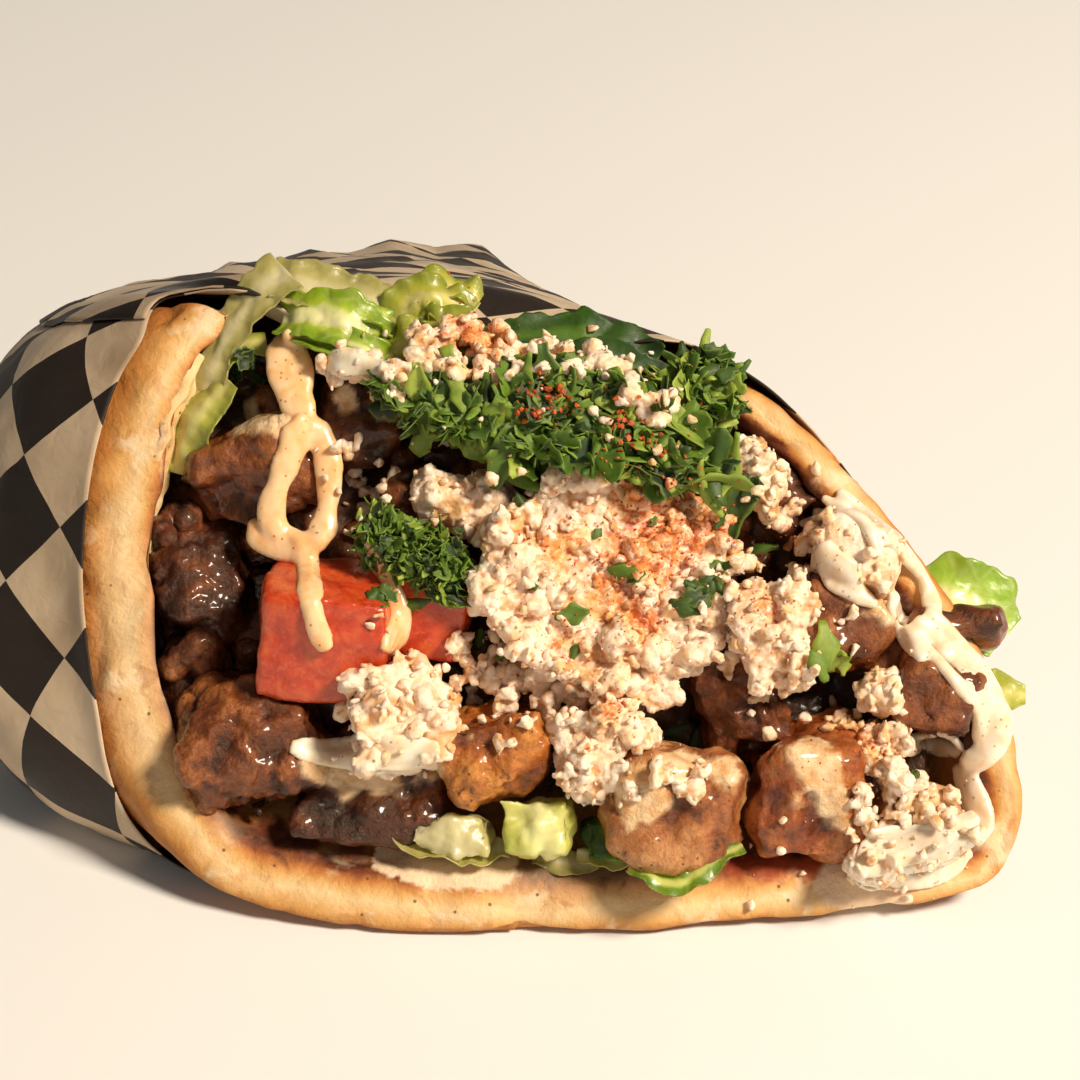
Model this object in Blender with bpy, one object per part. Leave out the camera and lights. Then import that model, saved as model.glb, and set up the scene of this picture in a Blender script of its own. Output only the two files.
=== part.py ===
"""A gyro wrap lying on its side: pita folded round a filling, in a sleeve of check paper.

Run with: blender --background --python part.py

Lengths are millimetres until they reach a mesh, where MM turns them into metres. The
wrap lies along Y on the plane z = 0. Its mouth is at the front and leans back, and its
body tapers to a tucked end at the back left. The filling is placed in the mouth's own
frame: across (to the right), up (up the leaning mouth) and out (out of the mouth).
"""

import math

import bmesh
import bpy
from mathutils import Euler, Matrix, Vector, noise

MM = 0.001

# The mouth: a leaning opening, whose rim is the outer edge of the bread.
MOUTH_CENTRE = Vector((11.0, -56.0, 37.0))
MOUTH_LEAN = math.radians(40.0)
ACROSS = Vector((1.0, 0.0, 0.0))
UP_SLOPE = Vector((0.0, math.sin(MOUTH_LEAN), math.cos(MOUTH_LEAN)))
OUTWARD = Vector((0.0, -math.cos(MOUTH_LEAN), math.sin(MOUTH_LEAN)))
# (across, up) from the end of the left flap, down round the bottom and up the far side.
BREAD_RIM = [
    (-52, 43), (-62, 34), (-67, 18), (-68.5, 1), (-66.5, -15), (-60, -31), (-45, -43),
    (-24, -48), (0, -48), (24, -47), (46, -44.5), (63, -41), (68, -28), (63, -9),
    (51, 10), (36, 26), (21, 36),
]
# The seam between the two flaps, where only the paper's collar stands.
SEAM_RIM = [(4, 42), (-14, 48.5), (-34, 48)]

# The body behind the mouth: a control ring for the belly, and the tucked end. On its
# left the belly is a full, boxy oval. On its right it keeps the shape of the mouth.
BODY_SKEW = math.radians(20.0)
BELLY_CENTRE = Vector((-13.0, -2.0, 28.5))
BELLY_LEAN = math.radians(31.0)
BELLY_HALF = (83.0, 32.5)
BELLY_POWER = 4.2
BELLY_RIGHT_SHRINK = (0.85, 0.7)
BELLY_BLEND = (-30.0, 20.0)
RIM_WAVE = 1.2
TAIL_CENTRE = Vector((-35.0, 78.0, 9.5))
TAIL_LEAN = math.radians(5.0)
TAIL_HALF = (36.0, 8.0)
TAIL_POWER = 2.4

# Bread and paper.
BREAD_AT_RIM = 9.2
BREAD_AT_FAR_RIM = 6.4
BREAD_AT_TAIL = 4.2
BREAD_REACH = 0.86
BREAD_COLUMNS = 24
SEAM_COLUMNS = 4
EDGE_SHARE = 0.02
BREAD_ROWS = (0.0, 0.008, 0.028, 0.065, 0.16, 0.33, 0.5, 0.68, BREAD_REACH)
PAPER_THICK = 0.8
PAPER_GAP = 0.4
PAPER_BACKSET = 0.07
# Slack paper that stands away from the bread low on the left, down to the table.
PAPER_SLACK = 7.5
SLACK_SPREAD = 0.085
COLLAR_REACH = -0.035
PAPER_FIRST_ROW = 0.16
PAPER_ROWS = (PAPER_FIRST_ROW, 0.33, 0.5, 0.68, BREAD_REACH, 1.0)

# The filling's core: a plug inside the bread, with an uneven face set back in the mouth.
GAP = 0.35
CORE_COLUMNS = 18
CORE_ROWS = (0.07, 0.3, 0.55, 0.78)
CORE_FACE_RINGS = (0.8, 0.52, 0.24)
CORE_CLEAR = 1.8
CORE_SET_BACK = 11.0
CORE_SWELL = 6.0
CORE_UNEVEN = 2.0

# Lumps are divided more finely the larger they are, and crumbly cheese less than the rest.
SMALL_LUMP = 14.2
SMALL_FETA = 16.5
LARGE_LUMP = 26.0

# Everything below is (name, (across, up, out), (width, height, depth), turn, tilt).
# Turn is in the plane of the mouth and tilt is about the piece's width, in degrees.
MEAT = [
    ("meat_top_left", (-43, 19.5, -4), (20, 13, 15), 18, 20),
    ("meat_under_sauce", (-27, 25, -3), (11, 13, 12), -10, 0),
    ("meat_charred", (-50.5, 3, -9), (15, 18, 16), 8, -15),
    ("meat_deep_left", (-52, -11, -12), (11, 15, 14), -8, 0),
    ("meat_behind_tomato", (-41, -1, -11), (10, 14, 12), 0, 10),
    ("meat_front_left", (-42.5, -20, -3), (20, 18, 18), 14, 12),
    ("meat_low_shaded", (-25, -29, -5), (23, 12, 15), -6, 0),
    ("meat_golden", (-8, -22, 1), (15.5, 12.5, 14), 10, 15),
    ("meat_creamed", (18.5, -29.5, 2), (19, 16, 16), -12, 10),
    ("meat_inner", (27, -14, -3), (14, 17, 14), 12, 0),
    ("meat_glazed", (36.5, -27, 0), (18.5, 18, 17), 5, 20),
    ("meat_right_high", (41.5, -3, 0), (15, 11, 13), -24, 0),
    ("meat_right_edge", (55, -13.5, 1), (12, 10.5, 12), -18, 8),
    ("meat_strip", (58, -3.5, 0), (14, 5.5, 7), -2, 0),
    ("meat_far_rim", (35, 17.5, -5), (8.5, 8.5, 9), 20, 0),
    ("meat_right_low", (52.5, -32, 0), (12.5, 10.5, 12), 8, 0),
    ("meat_sliver", (48.5, -8, -3), (7, 7, 8), 0, 0),
    ("meat_centre", (-20, 14, -3), (9, 9, 10), 30, 0),
]
TOMATO = [
    ("tomato_front", (-31.5, -4.5, 3), (19, 17, 16), -6, 30),
    ("tomato_rear", (-17.5, -1.5, 0), (13, 12, 12), -14, 20),
]
FETA = [
    ("feta_front", (-21.5, -15.5, 5), (17, 18, 13), 20, 0),
    ("feta_mid_low", (8, -22, 6), (16, 13, 10), -12, 0),
    ("feta_right_slab", (31, -5.5, 7), (13, 17, 9), 12, 0),
    ("feta_creamy_right", (44, 6.5, 4), (14, 11, 10), -20, 0),
    ("feta_right_nub", (46.5, -13, 4), (7, 8, 7), 0, 0),
    ("feta_right_low", (47, -22.5, 4), (9, 11, 8), 0, 0),
    ("feta_on_rim", (46, -35.5, 3), (11, 8, 6), 12, 0),
    ("feta_top_left", (-26, 32.5, 0), (14, 7, 9), -6, 0),
    ("feta_left_mid", (-12.5, 13.5, 3), (16, 11, 10), -8, 0),
    ("feta_white_top", (12, 28.5, 5), (9, 6.5, 7), -24, 0),
    ("feta_far", (29.5, 18, 2), (9, 13, 8), 32, 0),
    ("feta_orange_top", (-11.5, 36, 0), (12, 8, 8), 0, 0),
    ("feta_back_bits", (1.5, 33.5, 2), (11, 6, 7), -10, 0),
]
FETA_HEAPS = [("feta_heap", (8, 2, 5), (34, 35, 13), -24, 0)]
PARSLEY = [
    ("parsley_heap", (1, 24, 8.5), (49, 16, 7), -14, 0),
    ("parsley_clump", (-17.5, 5.5, 8), (22, 10, 6), -28, 0),
    ("parsley_back", (22, 30.5, 5), (14, 12, 6), -30, 0),
]
LUMPY_LETTUCE = [
    ("lettuce_block", (-30, 39.5, -1), (14, 8, 9), -6, 0),
    ("lettuce_chunk_low", (-2, -32.5, 1), (11, 9, 9), 0, 0),
    ("lettuce_pale_low", (-14, -34, -1), (13, 7, 9), 4, 0),
    ("lettuce_dark_low", (8, -34.5, -1), (7, 7, 8), 0, 0),
]
# Leaves: (name, points along the leaf, width, lean of the width, sheet thickness, cup depth).
# Lean 0 is a leaf that stands edge on to the mouth, and at 90 it faces out of the mouth.
LEAVES = [
    (
        "lettuce_rib", [(-52, 24, -6), (-47, 38, -4), (-39, 46, -1), (-30, 48, 0), (-21, 45, 0)],
        14, 50, 2.0, 2.0,
    ),
    ("lettuce_ruffle", [(-26, 42, 1), (-18, 43, 3), (-9, 40, 1)], 12, 65, 1.8, 2.0),
    ("lettuce_left", [(-53, 17, -3), (-51, 25, 0), (-45, 32, 0)], 9, 50, 1.8, 1.5),
    ("lettuce_rim", [(13, -38.5, 6), (20, -38.5, 8), (27, -35, 6)], 7, 40, 1.6, 1.2),
    ("lettuce_right", [(54, 3, -9), (61, 1, -8), (67, -4, -9)], 14, 55, 1.8, 2.0),
    ("lettuce_tip", [(60, -13, -7), (65, -14, -6), (70, -14.5, -7)], 8, 50, 1.8, 1.2),
    (
        "dark_leaf_back", [(-6, 38, -2), (5, 37, 1), (14, 34.5, 2), (22, 29, 1)],
        11, 60, 1.6, 2.0,
    ),
]
LEAF_STATIONS = 5
LEAF_ACROSS = (-1.0, -0.35, 0.35, 1.0)
LEAF_EDGE = 0.35

# The pieces' own colours and roughness.
BREAD_LOOK = ((0.80, 0.56, 0.30), 0.7)
PAPER_LOOK = ((0.30, 0.24, 0.20), 0.6)
CORE_LOOK = ((0.36, 0.20, 0.10), 0.6)
TOMATO_LOOK = ((0.62, 0.10, 0.04), 0.25)
MEAT_LOOK = ((0.36, 0.16, 0.06), 0.4)
LETTUCE_LOOK = ((0.52, 0.62, 0.22), 0.4)
FETA_LOOK = ((0.93, 0.86, 0.72), 0.6)
PARSLEY_LOOK = ((0.10, 0.26, 0.06), 0.6)


def mouth_point(across, up, out=0.0):
    return MOUTH_CENTRE + ACROSS * across + UP_SLOPE * up + OUTWARD * out


def catmull_rom(before, start, end, after, t):
    return 0.5 * (
        2 * start
        + (end - before) * t
        + (2 * before - 5 * start + 4 * end - after) * t**2
        + (3 * start - before - 3 * end + after) * t**3
    )


class ClosedCurve:
    """A smooth closed curve through points, read by its share of the length."""

    STEPS = 24

    def __init__(self, points):
        points = [Vector(p) for p in points]
        count = len(points)
        self.samples = []
        for i in range(count):
            four = [points[(i + k) % count] for k in (-1, 0, 1, 2)]
            for step in range(self.STEPS):
                self.samples.append(catmull_rom(*four, step / self.STEPS))
        self.samples.append(self.samples[0])
        self.lengths = [0.0]
        for a, b in zip(self.samples, self.samples[1:]):
            self.lengths.append(self.lengths[-1] + (b - a).length)

    def share_at(self, index):
        """Share of the length at which the curve passes the point with this index."""
        return self.lengths[index * self.STEPS] / self.lengths[-1]

    def at(self, share):
        target = (share % 1.0) * self.lengths[-1]
        low, high = 0, len(self.lengths) - 1
        while high - low > 1:
            middle = (low + high) // 2
            if self.lengths[middle] <= target:
                low = middle
            else:
                high = middle
        part = (target - self.lengths[low]) / (self.lengths[high] - self.lengths[low])
        return self.samples[low].lerp(self.samples[high], part)


RIM = ClosedCurve(BREAD_RIM + SEAM_RIM)
BREAD_END = RIM.share_at(len(BREAD_RIM) - 1)
LOW_LEFT = RIM.share_at(BREAD_RIM.index((-60, -31)))


def smoothstep(low, high, value):
    t = min(max((value - low) / (high - low), 0.0), 1.0)
    return t * t * (3 - 2 * t)


def oval_offset(half, power, angle):
    """(sideways, up) of a point on a boxy oval."""
    c, s = math.cos(angle), math.sin(angle)
    reach = (abs(c) ** power + abs(s) ** power) ** (-1 / power)
    return Vector((half[0] * reach * c, half[1] * reach * s))


def ring_point(centre, lean, offset):
    """A point of a ring whose plane is turned by the body's skew and leans back."""
    side = Vector((math.cos(BODY_SKEW), math.sin(BODY_SKEW), 0.0))
    back = Vector((-math.sin(BODY_SKEW), math.cos(BODY_SKEW), 0.0))
    up = back * math.sin(lean) + Vector((0.0, 0.0, math.cos(lean)))
    return centre + side * offset[0] + up * offset[1]


def belly_point(across, up, angle):
    full = oval_offset(BELLY_HALF, BELLY_POWER, angle)
    like_mouth = Vector((across * BELLY_RIGHT_SHRINK[0], up * BELLY_RIGHT_SHRINK[1]))
    offset = full.lerp(like_mouth, smoothstep(*BELLY_BLEND, across))
    return ring_point(BELLY_CENTRE, BELLY_LEAN, offset)


def body_point(share, depth):
    """The outside of the bread: depth is 0 at the mouth and 1 at the tucked end."""
    across, up = RIM.at(share)
    wave = RIM_WAVE * math.sin(share * 6 * math.pi + 1.0)
    rim = mouth_point(across, up, wave)
    angle = math.atan2(up, across * 0.7)
    belly = belly_point(across, up, angle)
    tail = ring_point(TAIL_CENTRE, TAIL_LEAN, oval_offset(TAIL_HALF, TAIL_POWER, angle))
    front = 1 - depth
    point = rim * front**2 + belly * (2 * front * depth) + tail * depth**2
    lowest = (PAPER_THICK + PAPER_GAP) * smoothstep(0.0, PAPER_BACKSET, depth)
    point.z = max(point.z, lowest)
    return point


def body_normal(share, depth):
    """The direction that points out of the body."""
    step = 0.004
    along = body_point(share, depth + step) - body_point(share, depth - step)
    around = body_point(share + step, depth) - body_point(share - step, depth)
    return along.cross(around).normalized()


def bread_thickness(share, depth):
    """The bread is puffy round its rim, less so on the far side, and thin at the tail."""
    rim = BREAD_AT_RIM + (BREAD_AT_FAR_RIM - BREAD_AT_RIM) * smoothstep(0.4, 0.56, share)
    return rim + (BREAD_AT_TAIL - rim) * smoothstep(0.0, 0.7, depth)


def make_object(name, points, faces, look):
    """An object from points in millimetres, with its own plain material."""
    colour, roughness = look
    mesh = bpy.data.meshes.new(name)
    mesh.from_pydata([tuple(Vector(p) * MM) for p in points], [], faces)
    bm = bmesh.new()
    bm.from_mesh(mesh)
    bmesh.ops.triangulate(bm, faces=bm.faces)
    bmesh.ops.recalc_face_normals(bm, faces=bm.faces)
    bm.to_mesh(mesh)
    bm.free()
    mesh.shade_smooth()
    obj = bpy.data.objects.new(name, mesh)
    bpy.context.scene.collection.objects.link(obj)
    material = bpy.data.materials.new(name)
    material.use_nodes = True
    shader = material.node_tree.nodes["Principled BSDF"]
    shader.inputs["Base Color"].default_value = (*colour, 1.0)
    shader.inputs["Roughness"].default_value = roughness
    shader.inputs["Metallic"].default_value = 0.0
    mesh.materials.append(material)
    return obj


def ring_faces(first, second, columns):
    """Quads between two rings of points, given by the index of each ring's first point."""
    pairs = [(j, (j + 1) % columns) for j in range(columns)]
    return [[first + j, first + k, second + k, second + j] for j, k in pairs]


def fan_faces(first, columns, tip):
    return [[first + j, first + (j + 1) % columns, tip] for j in range(columns)]


def sheet_solid(front, back):
    """Points and faces of a closed sheet between two grids of the same size."""
    rows, columns = len(front), len(front[0])
    points = [p for row in front for p in row] + [p for row in back for p in row]
    offset = rows * columns

    def at(side, i, j):
        return side * offset + i * columns + j

    faces = []
    for side in (0, 1):
        for i in range(rows - 1):
            for j in range(columns - 1):
                quad = [at(side, i, j), at(side, i, j + 1), at(side, i + 1, j + 1), at(side, i + 1, j)]
                faces.append(quad if side else quad[::-1])
    border = [(0, j) for j in range(columns)]
    border += [(i, columns - 1) for i in range(1, rows)]
    border += [(rows - 1, j) for j in range(columns - 2, -1, -1)]
    border += [(i, 0) for i in range(rows - 2, 0, -1)]
    for a, b in zip(border, border[1:] + border[:1]):
        faces.append([at(0, *a), at(0, *b), at(1, *b), at(1, *a)])
    return points, faces


def bread_shares():
    """Where the columns of the bread run, without those that round its two side edges."""
    span = BREAD_END - 2 * EDGE_SHARE
    return [EDGE_SHARE + span * k / BREAD_COLUMNS for k in range(BREAD_COLUMNS + 1)]


def make_bread():
    """The pita: one thick sheet bent round the filling, open along the seam."""
    soft_edge = {0: 0.42, 1: 0.72, 2: 0.93}
    third = EDGE_SHARE / 3
    shares = [0.0, third] + bread_shares() + [BREAD_END - third, BREAD_END]
    outside, inside = [], []
    for i, depth in enumerate(BREAD_ROWS):
        outer_row, inner_row = [], []
        for j, share in enumerate(shares):
            edge = min(j, len(shares) - 1 - j)
            full = soft_edge.get(i, 1.0) * soft_edge.get(edge, 1.0)
            thick = bread_thickness(share, depth)
            surface = body_point(share, depth)
            inward = -body_normal(share, max(depth, 0.03))
            middle = surface + inward * (thick / 2)
            outer_row.append(middle - inward * (thick / 2 * full))
            inner_row.append(middle + inward * (thick / 2 * full))
        outside.append(outer_row)
        inside.append(inner_row)
    points, faces = sheet_solid(outside, inside)
    return make_object("pita", points, faces, BREAD_LOOK)


def collar_share(share):
    """1 along the seam, where the paper stands up as a collar, and 0 round the bread."""
    from_left = smoothstep(BREAD_END - 0.10, BREAD_END + 0.02, share)
    from_right = 1 - smoothstep(0.985, 1.0, share)
    return from_left * from_right


def paper_slack(share, depth):
    around = math.exp(-(((share - LOW_LEFT) / SLACK_SPREAD) ** 2))
    along = smoothstep(0.04, 0.24, depth) * (1 - smoothstep(0.45, 0.9, depth))
    return PAPER_SLACK * around * along


def make_paper():
    """The sleeve: a thin cup round the bread, with a collar behind the seam."""
    seam = (1 - BREAD_END) / SEAM_COLUMNS
    shares = bread_shares() + [BREAD_END + seam * k for k in range(SEAM_COLUMNS + 1)]
    columns = len(shares)
    rings = []
    for offset in (PAPER_GAP + PAPER_THICK, PAPER_GAP):
        for row in (-1, 0) + PAPER_ROWS:
            ring = []
            for share in shares:
                start = PAPER_BACKSET + (COLLAR_REACH - PAPER_BACKSET) * collar_share(share)
                halfway = (start + PAPER_FIRST_ROW) / 2
                depth = start if row == -1 else halfway if row == 0 else row
                clear = offset + paper_slack(share, depth)
                point = body_point(share, depth) + body_normal(share, max(depth, 0.03)) * clear
                point.z = max(point.z, PAPER_GAP + PAPER_THICK - offset)
                ring.append(point)
            rings.append(ring)
    count = len(rings) // 2
    points = [p for ring in rings for p in ring]
    faces = []
    for side in (0, count):
        for i in range(side, side + count - 1):
            faces += ring_faces(i * columns, (i + 1) * columns, columns)
        tail = rings[side + count - 1]
        points.append(sum(tail, Vector()) / columns)
        faces += fan_faces((side + count - 1) * columns, columns, len(points) - 1)
    faces += ring_faces(0, count * columns, columns)
    return make_object("paper_wrap", points, faces, PAPER_LOOK)


def make_core():
    """The packed filling behind the pieces that show: it runs down the inside of the bread."""
    rings = []
    for depth in reversed(CORE_ROWS):
        ring = []
        for j in range(CORE_COLUMNS):
            share = j / CORE_COLUMNS
            inset = bread_thickness(share, depth) + CORE_CLEAR
            ring.append(body_point(share, depth) - body_normal(share, depth) * inset)
        rings.append(ring)
    mouth = rings[-1]
    middle = sum(mouth, Vector()) / CORE_COLUMNS
    plane = middle - OUTWARD * (middle - mouth_point(0, 0, -CORE_SET_BACK)).dot(OUTWARD)
    for scale in CORE_FACE_RINGS:
        ring = []
        for point in mouth:
            spread = plane + (point - middle) * scale
            flat = spread - OUTWARD * (spread - plane).dot(OUTWARD)
            swell = CORE_SWELL * (1 - scale**2)
            uneven = CORE_UNEVEN * noise.noise(flat * 0.09)
            ring.append(flat + OUTWARD * (swell + uneven))
        rings.append(ring)
    points = [p for ring in rings for p in ring]
    points += [sum(rings[0], Vector()) / CORE_COLUMNS, plane + OUTWARD * CORE_SWELL]
    faces = []
    for i in range(len(rings) - 1):
        faces += ring_faces(i * CORE_COLUMNS, (i + 1) * CORE_COLUMNS, CORE_COLUMNS)
    faces += fan_faces(0, CORE_COLUMNS, len(points) - 2)
    faces += fan_faces((len(rings) - 1) * CORE_COLUMNS, CORE_COLUMNS, len(points) - 1)
    return make_object("filling", points, faces, CORE_LOOK)


def piece_matrix(place, turn, tilt):
    """From a piece's own axes (width, height, depth) to the mouth's place and slope."""
    frame = Matrix((ACROSS, UP_SLOPE, OUTWARD)).transposed().to_4x4()
    spin = Euler((math.radians(tilt), 0.0, math.radians(turn))).to_matrix().to_4x4()
    return Matrix.Translation(mouth_point(*place)) @ frame @ spin


def make_lump(name, place, size, turn, tilt, look, squareness, uneven):
    """A rough block with rounded corners, from an evenly divided cube."""
    bm = bmesh.new()
    small = SMALL_FETA if name.startswith("feta") else SMALL_LUMP
    cuts = 1 if max(size) < small else 2 if max(size) < LARGE_LUMP else 3
    bmesh.ops.create_cube(bm, size=2.0)
    bmesh.ops.subdivide_edges(bm, edges=bm.edges, cuts=cuts, use_grid_fill=True)
    seed = Vector(place) * 0.37
    for vert in bm.verts:
        ball = vert.co.normalized()
        block = Vector(math.tan(c * math.pi / 4) for c in vert.co)
        shape = ball.lerp(block, squareness)
        swell = 1 + uneven * noise.noise(ball * 1.4 + seed)
        vert.co = Vector(shape[axis] * swell * size[axis] / 2 for axis in range(3))
    bmesh.ops.transform(bm, matrix=piece_matrix(place, turn, tilt), verts=bm.verts)
    points = [v.co.copy() for v in bm.verts]
    faces = [[v.index for v in f.verts] for f in bm.faces]
    bm.free()
    return make_object(name, points, faces, look)


def make_leaf(name, spine, width, lean, thick, cup):
    """A curved sheet along a spine of points, cupped across its width."""
    lean = math.radians(lean)
    points = [mouth_point(*p) for p in spine]
    padded = [points[0] * 2 - points[1]] + points + [points[-1] * 2 - points[-2]]
    centres = []
    for k in range(LEAF_STATIONS + 1):
        reach = k / LEAF_STATIONS * (len(points) - 1)
        i = min(int(reach), len(points) - 2)
        centres.append(catmull_rom(*padded[i : i + 4], reach - i))
    front, back = [], []
    for k, centre in enumerate(centres):
        ahead = (centres[min(k + 1, LEAF_STATIONS)] - centres[max(k - 1, 0)]).normalized()
        sideways = ahead.cross(OUTWARD).normalized()
        wide = OUTWARD * math.cos(lean) + sideways * math.sin(lean)
        normal = ahead.cross(wide).normalized()
        end = abs(k / LEAF_STATIONS * 2 - 1)
        narrow = math.sqrt(1 - 0.75 * end**3)
        row_front, row_back = [], []
        for w in LEAF_ACROSS:
            edge = LEAF_EDGE if abs(w) == 1 or end == 1 else 1.0
            middle = centre + wide * (w * narrow * width / 2) - normal * (cup * w * w)
            row_front.append(middle + normal * (thick / 2 * edge))
            row_back.append(middle - normal * (thick / 2 * edge))
        front.append(row_front)
        back.append(row_back)
    points, faces = sheet_solid(front, back)
    return make_object(name, points, faces, LETTUCE_LOOK)


def boxes_meet(first, second):
    """Whether two meshes' boxes come within GAP of each other."""
    for axis in range(3):
        a = [v.co[axis] for v in first.vertices]
        b = [v.co[axis] for v in second.vertices]
        if min(a) > max(b) + GAP * MM or min(b) > max(a) + GAP * MM:
            return False
    return True


def keep_largest_body(mesh):
    """Deletes what a cut left loose, and the points that nothing uses."""
    bm = bmesh.new()
    bm.from_mesh(mesh)
    bodies, seen = [], set()
    for vert in bm.verts:
        if vert in seen:
            continue
        body, queue = [], [vert]
        seen.add(vert)
        while queue:
            here = queue.pop()
            body.append(here)
            for edge in here.link_edges:
                other = edge.other_vert(here)
                if other not in seen:
                    seen.add(other)
                    queue.append(other)
        bodies.append(body)
    bodies.sort(key=len)
    loose = [vert for body in bodies[:-1] for vert in body]
    bmesh.ops.delete(bm, geom=loose, context="VERTS")
    bm.to_mesh(mesh)
    bm.free()


def grown(mesh):
    """A copy of a mesh whose surface stands GAP further out."""
    larger = mesh.copy()
    for vert in larger.vertices:
        vert.co += vert.normal * (GAP * MM)
    return larger


def carve(target, shapes):
    """Cuts from the target every shape it would run into.

    The EXACT solver loses whole pieces among this many cuts. Every mesh here is closed, as
    the MANIFOLD solver needs.
    """
    for shape in shapes:
        if not boxes_meet(target.data, shape):
            continue
        cutter = bpy.data.objects.new("cutter", shape)
        bpy.context.scene.collection.objects.link(cutter)
        cut = target.modifiers.new("cut", "BOOLEAN")
        cut.operation = "DIFFERENCE"
        cut.solver = "MANIFOLD"
        cut.object = cutter
        graph = bpy.context.evaluated_depsgraph_get()
        carved = bpy.data.meshes.new_from_object(target.evaluated_get(graph))
        target.modifiers.clear()
        target.data = carved
        bpy.data.objects.remove(cutter)
        keep_largest_body(carved)


for old in list(bpy.data.objects):
    bpy.data.objects.remove(old)

shapes = [grown(obj.data) for obj in (make_bread(), make_paper())]
# A lump's last two values: 0 is a ball and 1 a block, and how uneven its surface is.
pieces = [make_lump(*row, TOMATO_LOOK, 0.72, 0.08) for row in TOMATO]
pieces += [make_lump(*row, MEAT_LOOK, 0.45, 0.35) for row in MEAT]
pieces += [make_lump(*row, LETTUCE_LOOK, 0.5, 0.3) for row in LUMPY_LETTUCE]
pieces += [make_leaf(*row) for row in LEAVES]
pieces += [make_lump(*row, FETA_LOOK, 0.3, 0.4) for row in FETA]
pieces += [make_lump(*row, FETA_LOOK, 0.25, 0.45) for row in FETA_HEAPS]
pieces += [make_lump(*row, PARSLEY_LOOK, 0.25, 0.45) for row in PARSLEY]
pieces.append(make_core())
# Each piece is cut by the whole shapes of those before it, so no two of them touch.
for piece in pieces:
    whole = grown(piece.data)
    carve(piece, shapes)
    shapes.append(whole)
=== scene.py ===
"""Looks of a gyro wrap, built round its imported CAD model.

Lengths are millimetres until they reach a mesh, where MM turns them into metres. The
filling is placed in the mouth's own frame: across (to the right), up (up the leaning
mouth) and out (out of the mouth).
"""

import math

import bmesh
import bpy
import numpy as np
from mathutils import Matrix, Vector
from mathutils.bvhtree import BVHTree


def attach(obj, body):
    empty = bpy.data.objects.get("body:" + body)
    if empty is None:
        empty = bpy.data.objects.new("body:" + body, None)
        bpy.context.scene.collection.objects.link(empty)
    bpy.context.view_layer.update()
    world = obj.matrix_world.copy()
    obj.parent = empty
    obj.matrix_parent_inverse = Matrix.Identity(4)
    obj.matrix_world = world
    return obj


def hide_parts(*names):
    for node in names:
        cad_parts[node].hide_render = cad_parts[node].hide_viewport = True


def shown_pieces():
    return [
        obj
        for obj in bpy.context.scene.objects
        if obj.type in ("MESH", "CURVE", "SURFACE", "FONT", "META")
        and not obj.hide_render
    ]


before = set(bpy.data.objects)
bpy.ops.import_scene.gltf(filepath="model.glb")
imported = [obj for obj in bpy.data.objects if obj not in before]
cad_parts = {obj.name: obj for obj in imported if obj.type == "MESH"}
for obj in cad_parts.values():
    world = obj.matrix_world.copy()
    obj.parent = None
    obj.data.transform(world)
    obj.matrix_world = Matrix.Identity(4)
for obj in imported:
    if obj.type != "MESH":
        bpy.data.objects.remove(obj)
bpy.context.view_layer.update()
MM = 0.001

# The mouth's frame, as in the CAD model.
MOUTH_CENTRE = np.array((11.0, -56.0, 37.0))
MOUTH_LEAN = math.radians(40.0)
ACROSS = np.array((1.0, 0.0, 0.0))
UP_SLOPE = np.array((0.0, math.sin(MOUTH_LEAN), math.cos(MOUTH_LEAN)))
OUTWARD = np.array((0.0, -math.cos(MOUTH_LEAN), math.sin(MOUTH_LEAN)))


def mouth_point(across, up, out=0.0):
    across, up, out = (np.asarray(v, float)[..., None] for v in (across, up, out))
    return MOUTH_CENTRE + ACROSS * across + UP_SLOPE * up + OUTWARD * out


def mouth_coords(points):
    """(across, up, out) of points in millimetres."""
    away = points - MOUTH_CENTRE
    return away @ ACROSS, away @ UP_SLOPE, away @ OUTWARD


def spotted(points, spots):
    """How strongly places lie within soft spots (across, up, reach) in the mouth's frame."""
    across, up, _ = mouth_coords(points)
    return sum(np.exp(-(((across - a) ** 2 + (up - u) ** 2) / r**2)) for a, u, r in spots)


# ---------------------------------------------------------------- noise

def hashed(cells, seed):
    """A repeatable random number from 0 to 1 for each whole-number cell."""
    cells = cells.astype(np.int64)
    mixed = cells[..., 0] * 73856093 ^ cells[..., 1] * 19349663 ^ cells[..., 2] * 83492791
    mixed = (mixed ^ (seed * 2654435761)) & 0xFFFFFFFF
    mixed = ((mixed ^ (mixed >> 15)) * 2246822519) & 0xFFFFFFFF
    mixed = ((mixed ^ (mixed >> 13)) * 3266489917) & 0xFFFFFFFF
    return (mixed ^ (mixed >> 16)) / 0xFFFFFFFF


def noise(points, size, seed=0):
    """Smooth noise from -1 to 1 with features of the given size."""
    place = np.asarray(points, float) / size
    cell = np.floor(place)
    part = place - cell
    part = part * part * (3 - 2 * part)
    total = 0.0
    for corner in np.ndindex(2, 2, 2):
        weight = np.prod(np.where(corner, part, 1 - part), axis=-1)
        total = total + weight * hashed(cell + corner, seed)
    return total * 2 - 1


def fractal(points, size, octaves=3, seed=0):
    return sum(noise(points, size / 2**k, seed + k) / 2**k for k in range(octaves)) / 1.5


def ridged(points, size, octaves=3, seed=0):
    """Noise from 0 to 1 with sharp creases at 0."""
    layers = (abs(noise(points, size / 2**k, seed + k)) / 2**k for k in range(octaves))
    return sum(layers) / 1.5


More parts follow.
